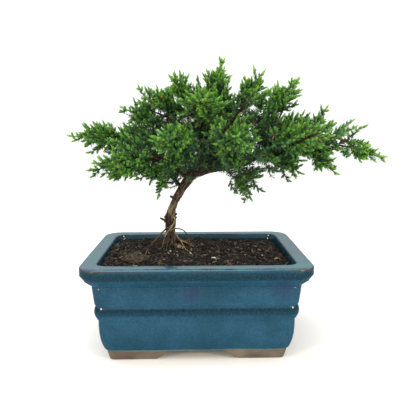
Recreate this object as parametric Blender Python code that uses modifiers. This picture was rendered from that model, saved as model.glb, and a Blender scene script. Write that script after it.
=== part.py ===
"""Juniper bonsai in a glazed rectangular pot, built round the pot's centre, then set on its box centre."""

import math
import random

import bmesh
import bpy
import numpy as np
from mathutils import Matrix, Vector, noise

MM = 0.001
GAP = 0.35 * MM              # clearance between touching pieces

# Pot
POT_LENGTH = 158 * MM        # over the rim, along X
POT_WIDTH = 127 * MM         # over the rim, along Y
POT_HEIGHT = 70 * MM
RIM_WIDTH = 10.4 * MM
RIM_LIP = 0.8 * MM           # how far the inside draws back under the rim's inner edge
RIM_DEPTH = 8.6 * MM         # height of the rim's outer face
RIM_ROUND = 1.8 * MM
RIM_CORNER = 11 * MM         # corner radius in plan
LEAST_CORNER = 3 * MM
CORNER_SHRINK = 0.45         # how much of an inset is taken off the corner radius
COVE_DEPTH = 6 * MM          # from the rim's foot down to the neck
NECK_INSET = 6.7 * MM        # of the neck just under the cove
NECK_TAPER = 1.5 * MM        # how much further in it stands at the belt
BELT_GROOVE = 0.4 * MM
BELT_DROP = 33.1 * MM        # from the rim's top to the belt's fullest line
BELT_WIDTH = 11.5 * MM
BELT_BULGE = 2.5 * MM
BODY_INSET = 10.4 * MM       # of the body just under the belt
BODY_TAPER = 4.3 * MM
WALL = 5 * MM
FLOOR = 5 * MM
FLOOR_FILLET = 6 * MM
FOOT_HEIGHT = 7 * MM
FOOT_INSET = 0.5 * MM        # from the body's lower edge to the top of the feet
FOOT_DRAFT = 1.8 * MM
FOOT_THICKNESS = 13 * MM
FOOT_LENGTH = 43 * MM        # of one foot, along X, where it meets the body
FOOT_WIDTH = 32 * MM         # of one foot, along Y, where it meets the body
FOOT_SLANT = 8 * MM
RECESS_CORNER = 6 * MM
HOLE_DIAMETER = 12 * MM
HOLE_SPACING = 62 * MM
HOLE_SIDES = 16
CORNER_STEPS = 6

# Screens over the drain holes
SCREEN_SIDE = 22 * MM
SCREEN_THICKNESS = 1.2 * MM
SCREEN_CELLS = 4
SCREEN_BAR = 1.3 * MM

# Soil
SOIL_DROP = 5.5 * MM         # from the rim's top to the soil at the walls
SOIL_MOUND = 7.6 * MM          # how much higher the soil stands at the trunk
MOUND_REACH = 46 * MM
WAVE_HEIGHT = 1.2 * MM
WAVE_SCALE = 45              # a wave every 22 mm or so
SOIL_RINGS = 7
SOIL_EDGE = 2 * MM           # height kept free of rings under the soil line

# Tree: routes are drawn in mm from the collar, where the trunk leaves the soil
DRAWN_HEIGHT = 140.6 * MM
DRAWN_SPREAD = 242 * MM
TREE_HEIGHT = 140.6 * MM     # from the collar to the top of the crown
TREE_SPREAD = 242 * MM       # along X
TRUNK_X = -20.2 * MM
TRUNK_Y = -1 * MM
TRUNK_RADIUS = 4.3 * MM      # a finger's width above the soil
WOOD_STEP = 4.5 * MM
TWIG_STEP = 6 * MM

# Route of the trunk: x, y, z in mm and thickness as a share of TRUNK_RADIUS
TRUNK_ROUTE = (
    (0.5, 0, -18, 1.35), (-0.3, 0, -4.5, 1.4), (-0.3, 0, 2, 1.22), (0, 0, 13.5, 1.0),
    (-0.2, 0, 23.7, 0.96), (1.4, 0, 29.1, 0.9), (3.3, 0, 35.3, 0.8), (8, 0, 44.5, 0.78),
    (12.2, 0, 49.8, 0.82), (17.5, 0, 55.5, 0.87), (26.6, 0, 57.8, 0.9), (34.2, -1, 58.9, 0.85),
    (41.7, -2, 60.5, 0.8), (52.8, -4, 63.6, 0.72), (64.5, -7, 68.5, 0.62),
)

# Limbs: route in mm, radius in mm at its base and at its tip
LIMBS = {
    "limb_right": (((62, -6.5, 67.5), (74, -12, 72), (88, -14, 77), (105, -13, 84), (124, -7, 82),
                    (143, -4, 77)), 2.4, 0.7),
    "limb_apex": (((24, 0, 57), (27, -1, 75), (24, -3, 92), (30, -4, 112), (35, -4, 124)), 2.6, 0.7),
    "limb_upper": (((41, -2, 60), (39, -12, 72), (43, -16, 89), (54, -17, 104), (62, -14, 118)), 1.9, 0.6),
    "limb_left": (((14, 0, 51), (0, 0, 63), (-20, -1, 73), (-40, -2, 80), (-58, -3, 83)), 2.3, 0.6),
    "limb_left_low": (((9, 0, 46), (-4, 3, 56), (-24, 4, 62), (-42, 3, 61)), 1.7, 0.6),
    "limb_left_front": (((17, 0, 55), (5, -13, 64), (-14, -24, 70), (-32, -34, 71)), 1.8, 0.6),
    "limb_left_back": (((19, 0, 56), (5, 14, 68), (-15, 22, 79), (-34, 30, 82)), 1.8, 0.6),
    "limb_shoulder": (((25.5, -1, 78), (11, -4, 92), (-10, -6, 101), (-24, -8, 108)), 1.6, 0.5),
    "limb_front": (((33, -1, 58.5), (36, -18, 74), (40, -37, 82), (43, -51, 84)), 1.8, 0.6),
    "limb_back": (((36, -1, 59), (39, 14, 74), (41, 34, 84), (43, 48, 87)), 1.8, 0.6),
    "limb_front_left": (((22, 0, 57), (16, -18, 72), (7, -38, 81), (1, -49, 83)), 1.6, 0.5),
    "limb_back_left": (((22, 0, 57), (16, 16, 74), (7, 34, 84), (1, 45, 87)), 1.6, 0.5),
    "limb_right_front": (((76, -12, 72.5), (86, -22, 80), (99, -38, 84)), 1.5, 0.5),
    "limb_right_back": (((67, -8, 69.5), (84, 10, 82), (98, 30, 87)), 1.5, 0.5),
    "limb_right_shoulder": (((70, -10, 70.5), (77, -9, 88), (87, -10, 110)), 1.6, 0.5),
}

# Surface roots: route in mm, radius in mm at its base and at its tip
ROOTS = {
    "root_left": (((0, 0, 17), (-3.5, -5, 13.7), (-9.5, -14, 8.5), (-16, -25, 1.5),
                   (-18, -28, -6)), 1.0, 0.7),
    "root_wrap": (((1.5, -1, 23.5), (3.8, -5.2, 20.5), (0, -6.4, 13.5), (-4.2, -7.2, 7.5),
                   (-6.8, -8.6, -5)), 0.9, 0.8),
    "root_arch": (((0, 0, 13), (5, 0, 13), (10.4, -1, 11.5), (14, -3, 5.5), (15.5, -5, -5)), 0.8, 0.7),
    "root_right": (((0, 0, 6), (8.5, 1, 2.8), (16.5, 3, -0.6), (24.5, 5, -6)), 2.3, 1.1),
    "root_back": (((0, 0, 5), (-3.5, 9, 2), (-8.5, 16, -1.6), (-12.5, 22, -6)), 2.1, 1.0),
}

# Foliage sprays: base and tip in mm, half of the width and half of the thickness in mm
SPRAYS = {
    "spray_left_tip": ((-26, -2, 82), (-77, -4, 82), 19, 13),
    "spray_left_low": ((-14, 6, 64), (-61, 2, 60), 20, 13),
    "spray_left_front": ((-6, -18, 68), (-51, -44, 68), 22, 14),
    "spray_left_back": ((-8, 18, 82), (-53, 40, 83), 23, 15),
    "spray_left_shoulder": ((-2, -5, 92), (-36, -9, 105), 22, 14),
    "spray_left_under": ((10, -10, 64), (-26, -26, 52), 18, 12),
    "spray_left_hanging": ((-3, -9, 58), (-9, -14, 36), 8, 8),
    "spray_upper_left": ((10, -4, 101), (-19, -8, 117), 22, 14),
    "spray_crown": ((25, -4, 111), (38.6, -4, 140.6), 13, 12),
    "spray_crown_left": ((16, -8, 108), (5, -12, 128), 19, 14),
    "spray_crown_back": ((26, 10, 102), (30, 42, 120), 27, 17),
    "spray_crown_front": ((27, -16, 100), (26, -52, 108), 27, 16),
    "spray_upper_right": ((46, -6, 105), (67, -6, 132), 17, 13),
    "spray_right_shoulder": ((68, -7, 98), (95, -10, 127.5), 19, 14),
    "spray_right_upper": ((74, -8, 90), (108, -12, 99), 20, 13),
    "spray_right_rise": ((104, -4, 84), (120, -4, 108), 11, 9),
    "spray_right_limb": ((88, -4, 80), (134, -4, 82), 20, 13),
    "spray_right_tip": ((127, -4, 79), (165.5, -4, 71.5), 15, 10),
    "spray_right_low": ((98, -8, 72), (126, -10, 50.5), 15, 11),
    "spray_right_under": ((68, -11, 70), (94, -20, 50), 19, 13),
    "spray_right_front": ((70, -20, 82), (112, -50, 84), 24, 15),
    "spray_right_back": ((72, 12, 84), (112, 42, 88), 24, 15),
    "spray_front": ((41, -18, 82), (46, -68, 84), 28, 17),
    "spray_back": ((41, 12, 84), (44, 64, 88), 28, 17),
    "spray_front_left": ((16, -20, 80), (-5, -62, 82), 25, 16),
    "spray_back_left": ((14, 14, 82), (-6, 56, 86), 25, 16),
    "spray_under_left": ((16, -12, 70), (-6, -38, 64), 17, 10),
    "spray_under_front": ((40, -12, 70), (48, -44, 64), 20, 10),
    "spray_under_right": ((62, -10, 72), (78, -38, 66), 15, 10),
    "spray_centre_hanging": ((45, -9, 64), (56, -12, 33), 15, 12),
    "spray_heart": ((10, -4, 84), (72, -5, 96), 26, 18),
}
SPRAY_POINTING = 0.4         # how much narrower a spray is at its tip than at its base
DIRECTIONS = 3               # fineness of the sphere of directions tried between two sprays

# Loose pieces on the soil
PEBBLE_SIZE = (19 * MM, 12 * MM, 9 * MM)
PEBBLE_PLACE = (-22.5 * MM, -34 * MM)          # from the trunk
PEBBLE_ROUGHNESS = 0.9 * MM
CHIP_SIZE = (5 * MM, 9 * MM, 3 * MM)
CHIP_PLACE = (9.5 * MM, -11 * MM)              # from the trunk
CHIP_TURN = math.radians(24)
CHIP_BEVEL = 0.8 * MM


def clear_scene():
    for obj in list(bpy.data.objects):
        bpy.data.objects.remove(obj)


def material(name, colour, roughness, metallic=0.0):
    made = bpy.data.materials.new(name)
    made.use_nodes = True
    shader = made.node_tree.nodes["Principled BSDF"]
    shader.inputs["Base Color"].default_value = (*colour, 1)
    shader.inputs["Roughness"].default_value = roughness
    shader.inputs["Metallic"].default_value = metallic
    made.diffuse_color = (*colour, 1)
    return made


def collection(name):
    made = bpy.data.collections.new(name)
    bpy.context.scene.collection.children.link(made)
    return made


clear_scene()
PARTS = collection("juniper_bonsai")
CUTTERS = collection("cutters")
CUTTERS.hide_render = True
ROOT = bpy.data.objects.new("bonsai", None)
PARTS.objects.link(ROOT)

GLAZE = material("glazed_stoneware", (0.035, 0.12, 0.18), 0.22)
SOIL = material("potting_soil", (0.035, 0.024, 0.017), 0.95)
BARK = material("juniper_bark", (0.07, 0.045, 0.03), 0.9)
ROOT_BARK = material("root_bark", (0.11, 0.06, 0.035), 0.85)
NEEDLES = material("juniper_needles", (0.05, 0.2, 0.03), 0.6)
STONE = material("mossy_stone", (0.16, 0.14, 0.09), 0.9)
CHIP = material("pale_wood", (0.45, 0.34, 0.2), 0.8)
NET = material("black_polythene", (0.02, 0.02, 0.02), 0.5)


def add_part(obj, finish):
    obj.data.materials.clear()
    obj.data.materials.append(finish)
    PARTS.objects.link(obj)
    obj.parent = ROOT
    return obj


def add_cutter(obj):
    CUTTERS.objects.link(obj)
    obj.hide_render = True
    obj.display_type = "WIRE"
    return obj


def object_from(bm, name):
    mesh = bpy.data.meshes.new(name)
    bm.to_mesh(mesh)
    bm.free()
    return bpy.data.objects.new(name, mesh)


def box_of(obj):
    points = np.array([obj.matrix_world @ vertex.co for vertex in obj.data.vertices])
    return points.min(axis=0), points.max(axis=0)


def boxes_meet(first, second):
    low_a, high_a = box_of(first)
    low_b, high_b = box_of(second)
    return bool((low_a < high_b).all() and (low_b < high_a).all())


def keep_largest_body(bm):
    """Drops the crumbs that a cut leaves beside the main body."""
    left = set(bm.verts)
    bodies = []
    while left:
        body = set()
        front = [left.pop()]
        while front:
            vertex = front.pop()
            body.add(vertex)
            joined = {edge.other_vert(vertex) for edge in vertex.link_edges} & left
            left -= joined
            front.extend(joined)
        bodies.append(body)
    bodies.sort(key=len)
    crumbs = [vertex for body in bodies[:-1] for vertex in body]
    bmesh.ops.delete(bm, geom=crumbs, context="VERTS")


def cut(target, cutters):
    """Takes each cutter that meets the target out of it, and leaves one body."""
    cutters = [cutter for cutter in cutters if boxes_meet(target, cutter)]
    for cutter in cutters:
        step = target.modifiers.new("cut_" + cutter.name, "BOOLEAN")
        step.operation = "DIFFERENCE"
        step.solver = "EXACT"
        step.object = cutter
    if not cutters:
        return
    graph = bpy.context.evaluated_depsgraph_get()
    bm = bmesh.new()
    bm.from_mesh(bpy.data.meshes.new_from_object(target.evaluated_get(graph)))
    target.modifiers.clear()
    keep_largest_body(bm)
    bm.to_mesh(target.data)
    bm.free()


def smooth_route(points, step):
    """A Catmull-Rom curve through the points, as evenly spaced rows of x, y, z and any values that follow."""
    rows = np.array(points, dtype=float)
    padded = np.vstack([2 * rows[0] - rows[1], rows, 2 * rows[-1] - rows[-2]])
    fine = []
    for i in range(len(rows) - 1):
        a, b, c, d = padded[i:i + 4]
        for t in np.linspace(0, 1, 12, endpoint=False):
            fine.append(0.5 * (2 * b + (c - a) * t + (2 * a - 5 * b + 4 * c - d) * t ** 2
                               + (3 * b - a - 3 * c + d) * t ** 3))
    fine = np.array([*fine, rows[-1]])
    run = np.concatenate([[0], np.cumsum(np.linalg.norm(np.diff(fine[:, :3], axis=0), axis=1))])
    count = max(3, round(run[-1] / step) + 1)
    places = np.linspace(0, run[-1], count)
    return np.array([[np.interp(s, run, column) for column in fine.T] for s in places])


def tube(name, rows, resolution, extra=0.0):
    """A round rod along rows of x, y, z and radius. With extra, it is that much larger all over."""
    rows = rows.copy()
    if extra:
        for end, inner in ((0, 1), (-1, -2)):
            outward = rows[end, :3] - rows[inner, :3]
            rows[end, :3] += outward / np.linalg.norm(outward) * extra
        rows[:, 3] += extra
    curve = bpy.data.curves.new(name, "CURVE")
    curve.dimensions = "3D"
    curve.bevel_depth = 1.0
    curve.bevel_resolution = resolution
    curve.use_fill_caps = True
    spline = curve.splines.new("POLY")
    spline.points.add(len(rows) - 1)
    for point, (x, y, z, radius) in zip(spline.points, rows):
        point.co = (x, y, z, 1)
        point.radius = radius
    guide = bpy.data.objects.new(name + "_guide", curve)
    bpy.context.scene.collection.objects.link(guide)
    graph = bpy.context.evaluated_depsgraph_get()
    bm = bmesh.new()
    bm.from_mesh(bpy.data.meshes.new_from_object(guide.evaluated_get(graph)))
    bpy.data.objects.remove(guide)
    bmesh.ops.remove_doubles(bm, verts=bm.verts[:], dist=0.00001)
    bmesh.ops.recalc_face_normals(bm, faces=bm.faces[:])
    rod = object_from(bm, name)
    rod.data.shade_smooth()
    return rod


def rounded_ring(half_length, half_width, radius, height, steps=CORNER_STEPS):
    """Points of a rounded rectangle, anticlockwise from above."""
    radius = min(radius, half_length, half_width)
    ring = []
    for quarter, (side_x, side_y) in enumerate(((1, 1), (-1, 1), (-1, -1), (1, -1))):
        for step in range(steps + 1):
            angle = math.pi / 2 * (quarter + step / steps)
            ring.append((side_x * (half_length - radius) + radius * math.cos(angle),
                         side_y * (half_width - radius) + radius * math.sin(angle), height))
    return ring


def loft(name, rings):
    """One closed skin over rings of equal length, the first and the last ring capped."""
    bm = bmesh.new()
    rows = [[bm.verts.new(point) for point in ring] for ring in rings]
    for low, high in zip(rows, rows[1:]):
        for i in range(len(low)):
            j = (i + 1) % len(low)
            bm.faces.new((low[i], low[j], high[j], high[i]))
    bm.faces.new(list(reversed(rows[0])))
    bm.faces.new(rows[-1])
    bmesh.ops.recalc_face_normals(bm, faces=bm.faces[:])
    return object_from(bm, name)


def belt_foot():
    return POT_HEIGHT - BELT_DROP - 0.6 * BELT_WIDTH


def body_inset(height):
    """How far the lower body stands in from the rim's edge at a height."""
    share = (height - FOOT_HEIGHT) / (belt_foot() - FOOT_HEIGHT)
    return BODY_INSET + BODY_TAPER * (1 - share) ** 3


def outer_profile():
    """Height and inset from the rim's outer edge, from the foot up to the rim's face."""
    foot_top = BODY_INSET + BODY_TAPER + FOOT_INSET
    profile = [(0, foot_top + FOOT_DRAFT), (FOOT_HEIGHT, foot_top)]
    for share in (0, 0.06, 0.16, 0.32, 0.55, 1):
        height = FOOT_HEIGHT + share * (belt_foot() - FOOT_HEIGHT)
        profile.append((height, body_inset(height)))
    for share in (0.3, 0.6, 0.85):
        bulge = BELT_BULGE * math.sin(math.pi / 2 * share / 0.6)
        profile.append((belt_foot() + BELT_WIDTH * share, BODY_INSET - bulge))
    belt_head = belt_foot() + BELT_WIDTH
    rim_foot = POT_HEIGHT - RIM_DEPTH
    neck_head = rim_foot - COVE_DEPTH
    profile.append((belt_head, NECK_INSET + NECK_TAPER + BELT_GROOVE))
    profile.append((belt_head + 2 * BELT_GROOVE, NECK_INSET + NECK_TAPER))
    for share in (0, 0.33, 0.66, 0.9):
        profile.append((neck_head + COVE_DEPTH * share, NECK_INSET * (1 - share)))
    profile.append((rim_foot + 0.25 * RIM_DEPTH, 0))
    profile.append((POT_HEIGHT - RIM_ROUND, 0))
    profile.append((POT_HEIGHT - 0.3 * RIM_ROUND, 0.3 * RIM_ROUND))
    return profile


def inner_profile():
    """Height and inset of the inside, from the rim's top down to the edge of the floor."""
    neck_head = POT_HEIGHT - RIM_DEPTH - COVE_DEPTH
    profile = [(POT_HEIGHT, RIM_ROUND),
               (POT_HEIGHT, 0.6 * RIM_WIDTH),
               (POT_HEIGHT - 0.3 * RIM_ROUND, 0.88 * RIM_WIDTH),
               (POT_HEIGHT - RIM_ROUND, RIM_WIDTH),
               (POT_HEIGHT - 0.5 * RIM_DEPTH, RIM_WIDTH + RIM_LIP),
               (neck_head, NECK_INSET + WALL),
               (belt_foot(), BODY_INSET + WALL)]
    floor = FOOT_HEIGHT + FLOOR
    for turn in (0, 0.35, 0.7, 1):
        angle = math.pi / 2 * turn
        height = floor + FLOOR_FILLET * (1 - math.sin(angle))
        profile.append((height, body_inset(height) + WALL + FLOOR_FILLET * (1 - math.cos(angle))))
    return profile


def pot_ring(height, inset):
    """The pot's outline in plan, drawn in by the inset."""
    corner = max(RIM_CORNER - CORNER_SHRINK * inset, LEAST_CORNER)
    return rounded_ring(POT_LENGTH / 2 - inset, POT_WIDTH / 2 - inset, corner, height)


def drain_holes():
    return ((-HOLE_SPACING / 2, "left"), (HOLE_SPACING / 2, "right"))


def arch_cutter(name, gap, reach, across):
    """A prism with slanted ends, the way between two feet. Across turns it to run along X."""
    outline = ((-gap / 2 - FOOT_SLANT, -GAP), (gap / 2 + FOOT_SLANT, -GAP),
               (gap / 2, FOOT_HEIGHT), (-gap / 2, FOOT_HEIGHT))
    bm = bmesh.new()
    ends = [[bm.verts.new((x, y, z)) for x, z in outline] for y in (-reach, reach)]
    bm.faces.new(ends[0])
    bm.faces.new(list(reversed(ends[1])))
    for i in range(4):
        j = (i + 1) % 4
        bm.faces.new((ends[0][j], ends[0][i], ends[1][i], ends[1][j]))
    bmesh.ops.recalc_face_normals(bm, faces=bm.faces[:])
    if across:
        bmesh.ops.rotate(bm, verts=bm.verts[:], cent=(0, 0, 0), matrix=Matrix.Rotation(math.pi / 2, 3, "Z"))
    return add_cutter(object_from(bm, name))


def make_pot():
    pot = loft("pot", [pot_ring(height, inset) for height, inset in outer_profile() + inner_profile()])
    top_inset = BODY_INSET + BODY_TAPER + FOOT_INSET
    foot_half_length = POT_LENGTH / 2 - top_inset
    foot_half_width = POT_WIDTH / 2 - top_inset
    skirt = FOOT_DRAFT + FOOT_THICKNESS
    recess = add_cutter(loft("foot_recess", [
        rounded_ring(foot_half_length - skirt, foot_half_width - skirt, RECESS_CORNER, height)
        for height in (-GAP, FOOT_HEIGHT)]))
    front_way = arch_cutter("front_way", 2 * (foot_half_length - FOOT_LENGTH), POT_WIDTH, False)
    side_way = arch_cutter("side_way", 2 * (foot_half_width - FOOT_WIDTH), POT_LENGTH, True)
    holes = []
    for x, side in drain_holes():
        bm = bmesh.new()
        bmesh.ops.create_cone(bm, cap_ends=True, segments=HOLE_SIDES, radius1=HOLE_DIAMETER / 2,
                              radius2=HOLE_DIAMETER / 2, depth=4 * (FOOT_HEIGHT + FLOOR),
                              matrix=Matrix.Translation((x, 0, 0)))
        holes.append(add_cutter(object_from(bm, "drain_hole_" + side)))
    add_part(pot, GLAZE)
    cut(pot, [recess, front_way, side_way, *holes])
    pot.data.shade_smooth()
    pot.data.set_sharp_from_angle(angle=math.radians(50))


def make_screens():
    """A square net over each drain hole, and the pocket that it fills in the soil."""
    base = FOOT_HEIGHT + FLOOR + GAP
    pockets = []
    for x, side in drain_holes():
        bm = bmesh.new()
        bmesh.ops.create_grid(bm, x_segments=SCREEN_CELLS, y_segments=SCREEN_CELLS, size=SCREEN_SIDE / 2,
                              matrix=Matrix.Translation((x, 0, base)))
        cells = bmesh.ops.inset_individual(bm, faces=bm.faces[:], thickness=SCREEN_BAR / 2)
        inner = [face for face in bm.faces if face not in set(cells["faces"])]
        bmesh.ops.delete(bm, geom=inner, context="FACES_ONLY")
        screen = object_from(bm, "drain_screen_" + side)
        shell = screen.modifiers.new("thickness", "SOLIDIFY")
        shell.thickness = SCREEN_THICKNESS
        shell.offset = 1
        add_part(screen, NET)
        bm = bmesh.new()
        bmesh.ops.create_cube(bm, size=1)
        bmesh.ops.scale(bm, verts=bm.verts[:], vec=(SCREEN_SIDE + 2 * GAP, SCREEN_SIDE + 2 * GAP,
                                                    2 * (SCREEN_THICKNESS + GAP)))
        bmesh.ops.translate(bm, verts=bm.verts[:], vec=(x, 0, base))
        pockets.append(add_cutter(object_from(bm, "screen_pocket_" + side)))
    return pockets


def soil_height(x, y):
    """Height of the soil's surface: level at the walls and heaped up round the trunk."""
    away = math.hypot(x - TRUNK_X, y - TRUNK_Y) / MOUND_REACH
    waves = noise.noise(Vector((x, y, 0)) * WAVE_SCALE) * WAVE_HEIGHT
    return POT_HEIGHT - SOIL_DROP + SOIL_MOUND * math.exp(-away ** 2) + waves


def make_soil(cutters):
    """The bed: the pot's inside up to the walls' soil line, then rings that close over the heaped surface."""
    soil_line = POT_HEIGHT - SOIL_DROP
    rings = [pot_ring(height + GAP, inset + GAP) for height, inset in reversed(inner_profile())
             if height < soil_line - SOIL_EDGE]
    edge = RIM_WIDTH + RIM_LIP + 2 * GAP
    rings.append(pot_ring(soil_line, edge))
    for step in range(1, SOIL_RINGS):
        shrink = (POT_WIDTH / 2 - edge) * 0.97 * step / (SOIL_RINGS - 1)
        rings.append([(x, y, soil_height(x, y)) for x, y, _ in pot_ring(0, edge + shrink)])
    cut(add_part(loft("soil", rings), SOIL), cutters)


def from_collar(x, y, z):
    """A drawn point of the tree, stretched to the tree's size and put on the collar."""
    collar = POT_HEIGHT - SOIL_DROP + SOIL_MOUND
    return (TRUNK_X + x * MM * TREE_SPREAD / DRAWN_SPREAD, TRUNK_Y + y * MM,
            collar + z * MM * TREE_HEIGHT / DRAWN_HEIGHT)


def tapered(route, base_radius, tip_radius):
    """The drawn route with a radius that falls evenly from its base to its tip."""
    count = len(route) - 1
    return [(*from_collar(*point), (base_radius + (tip_radius - base_radius) * i / count) * MM)
            for i, point in enumerate(route)]


def make_wood(name, rows, resolution, finish, around):
    """A rod of wood with the pieces around it taken out, and its own larger copy for cutting others."""
    cut(add_part(tube(name, rows, resolution), finish), around)
    around.append(add_cutter(tube(name + "_clearance", rows, resolution, GAP)))


def make_tree_wood(loose):
    around = list(loose)
    rows = [(*from_collar(x, y, z), share * TRUNK_RADIUS) for x, y, z, share in TRUNK_ROUTE]
    make_wood("trunk", smooth_route(rows, WOOD_STEP), 4, BARK, around)
    for name, (route, base_radius, tip_radius) in ROOTS.items():
        rows = smooth_route(tapered(route, base_radius, tip_radius), WOOD_STEP)
        make_wood(name, rows, 1, ROOT_BARK, around)
    ground = list(around)
    for name, (route, base_radius, tip_radius) in LIMBS.items():
        rows = smooth_route(tapered(route, base_radius, tip_radius), TWIG_STEP)
        make_wood(name, rows, 2, BARK, around)
    return ground, around[len(loose):]


def spray_cloud(base, tip, half_width, half_thickness):
    """Points of a flattened drop from base to tip."""
    base, tip = Vector(from_collar(*base)), Vector(from_collar(*tip))
    along = tip - base
    forward = along.normalized()
    sideways = forward.cross(Vector((0, 0, 1))).normalized()
    upward = sideways.cross(forward)
    bm = bmesh.new()
    bmesh.ops.create_icosphere(bm, subdivisions=2, radius=1)
    points = []
    for vertex in bm.verts:
        u, v, w = vertex.co
        slim = 1 - SPRAY_POINTING * (u + 1) / 2
        points.append(base + along * (u + 1) / 2 + sideways * v * half_width * MM * slim
                      + upward * w * half_thickness * MM * slim)
    bm.free()
    return np.array(points)


def hull(points):
    bm = bmesh.new()
    for point in points:
        bm.verts.new(point)
    made = bmesh.ops.convex_hull(bm, input=bm.verts[:], use_existing_faces=False)
    inside = [item for item in made["geom_interior"] if isinstance(item, bmesh.types.BMVert)]
    bmesh.ops.delete(bm, geom=inside, context="VERTS")
    bmesh.ops.recalc_face_normals(bm, faces=bm.faces[:])
    return bm


def clipped(points, direction, limit):
    """The part of the points' hull that lies below the limit along the direction."""
    bm = hull(points)
    bmesh.ops.bisect_plane(bm, geom=bm.verts[:] + bm.edges[:] + bm.faces[:],
                           plane_co=Vector(direction) * limit, plane_no=direction, clear_outer=True)
    kept = np.array([vertex.co for vertex in bm.verts])
    bm.free()
    return kept


def try_directions():
    bm = bmesh.new()
    bmesh.ops.create_icosphere(bm, subdivisions=DIRECTIONS, radius=1)
    directions = np.array([vertex.co.normalized() for vertex in bm.verts])
    bm.free()
    return directions


def part_sprays(clouds):
    """Clips each two sprays that overlap at the plane between them along which they overlap least."""
    directions = try_directions()
    names = list(clouds)
    for i, first in enumerate(names):
        for second in names[i + 1:]:
            reach = (clouds[first] @ directions.T).max(axis=0) - (clouds[second] @ directions.T).min(axis=0)
            best = reach.argmin()
            if reach[best] <= GAP:
                continue
            direction = directions[best]
            middle = (clouds[first] @ direction).max() - reach[best] / 2
            clouds[first] = clipped(clouds[first], direction, middle - GAP / 2)
            clouds[second] = clipped(clouds[second], -direction, -middle - GAP / 2)


def make_sprays(wood):
    clouds = {name: spray_cloud(*values) for name, values in SPRAYS.items()}
    part_sprays(clouds)
    for name, cloud in clouds.items():
        cut(add_part(object_from(hull(cloud), name), NEEDLES), wood)


def lay_on_soil(place, sink):
    x, y = TRUNK_X + place[0], TRUNK_Y + place[1]
    return Vector((x, y, soil_height(x, y) - sink))


def make_pebble():
    dice = random.Random(7)
    shift = Vector([dice.uniform(-5, 5) for _ in range(3)])
    copies = []
    for name, extra in (("pebble", 0), ("pebble_clearance", GAP)):
        bm = bmesh.new()
        bmesh.ops.create_icosphere(bm, subdivisions=3, radius=1)
        half = [size / 2 + extra for size in PEBBLE_SIZE]
        for vertex in bm.verts:
            lump = 1 + PEBBLE_ROUGHNESS / half[2] * noise.noise(vertex.co * 1.7 + shift)
            vertex.co = Vector([c * h * lump for c, h in zip(vertex.co, half)])
        bmesh.ops.translate(bm, verts=bm.verts[:], vec=lay_on_soil(PEBBLE_PLACE, -0.25 * PEBBLE_SIZE[2]))
        copies.append(object_from(bm, name))
    copies[0].data.shade_smooth()
    add_part(copies[0], STONE)
    return add_cutter(copies[1])


def make_chip():
    copies = []
    for name, extra in (("wood_chip", 0), ("wood_chip_clearance", GAP)):
        bm = bmesh.new()
        bmesh.ops.create_cube(bm, size=1)
        bmesh.ops.scale(bm, verts=bm.verts[:], vec=[size + 2 * extra for size in CHIP_SIZE])
        bmesh.ops.bevel(bm, geom=bm.edges[:], offset=CHIP_BEVEL, segments=1, affect="EDGES")
        lean = Matrix.Rotation(CHIP_TURN, 4, "Z") @ Matrix.Rotation(CHIP_TURN, 4, "Y")
        bmesh.ops.transform(bm, verts=bm.verts[:], matrix=lean)
        bmesh.ops.translate(bm, verts=bm.verts[:], vec=lay_on_soil(CHIP_PLACE, -0.4 * CHIP_SIZE[2]))
        copies.append(object_from(bm, name))
    add_part(copies[0], CHIP)
    return add_cutter(copies[1])


def centre_on_box():
    """Sets the root so that the whole box stands centred on the origin."""
    graph = bpy.context.evaluated_depsgraph_get()
    corners = []
    for obj in PARTS.objects:
        if obj.type == "MESH":
            corners.extend(box_of(obj.evaluated_get(graph)))
    corners = np.array(corners)
    middle = (corners.min(axis=0) + corners.max(axis=0)) / 2
    ROOT.location = (-middle[0], -middle[1], 0)


make_pot()
pockets = make_screens()
loose = [make_pebble(), make_chip()]
ground, wood = make_tree_wood(loose)
make_soil([*pockets, *ground])
make_sprays(wood)
centre_on_box()
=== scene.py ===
import math
import random
from functools import partial

import bmesh
import bpy
import numpy as np
from mathutils import Matrix, Vector, noise
from mathutils.bvhtree import BVHTree


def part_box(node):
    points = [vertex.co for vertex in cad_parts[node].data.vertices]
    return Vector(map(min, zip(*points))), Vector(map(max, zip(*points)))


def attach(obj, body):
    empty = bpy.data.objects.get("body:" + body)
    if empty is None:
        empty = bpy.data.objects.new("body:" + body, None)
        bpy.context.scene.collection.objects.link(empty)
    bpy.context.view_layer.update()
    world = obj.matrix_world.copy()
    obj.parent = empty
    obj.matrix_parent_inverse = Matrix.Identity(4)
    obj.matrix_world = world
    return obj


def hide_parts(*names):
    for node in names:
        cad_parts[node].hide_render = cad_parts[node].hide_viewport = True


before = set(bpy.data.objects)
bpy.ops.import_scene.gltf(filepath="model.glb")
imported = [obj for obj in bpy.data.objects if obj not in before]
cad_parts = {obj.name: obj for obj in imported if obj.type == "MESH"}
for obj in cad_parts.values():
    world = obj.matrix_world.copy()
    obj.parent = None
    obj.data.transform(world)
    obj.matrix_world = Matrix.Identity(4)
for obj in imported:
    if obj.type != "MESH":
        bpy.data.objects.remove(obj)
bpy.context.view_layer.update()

mm = 0.001

potLow, potHigh = (np.array(corner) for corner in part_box("pot"))
potMiddle = np.array([(potLow[0] + potHigh[0]) / 2, (potLow[1] + potHigh[1]) / 2, 0])
potSize = potHigh - potLow


# small tools that every piece uses

def linear(hexColour):
    parts = [int(hexColour[i:i + 2], 16) / 255 for i in (1, 3, 5)]
    return (*[c / 12.92 if c <= 0.04045 else ((c + 0.055) / 1.055) ** 2.4 for c in parts], 1)


def perMetre(size):
    return 1 / (size * mm)  # noise scale that gives features of this many millimetres


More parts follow.
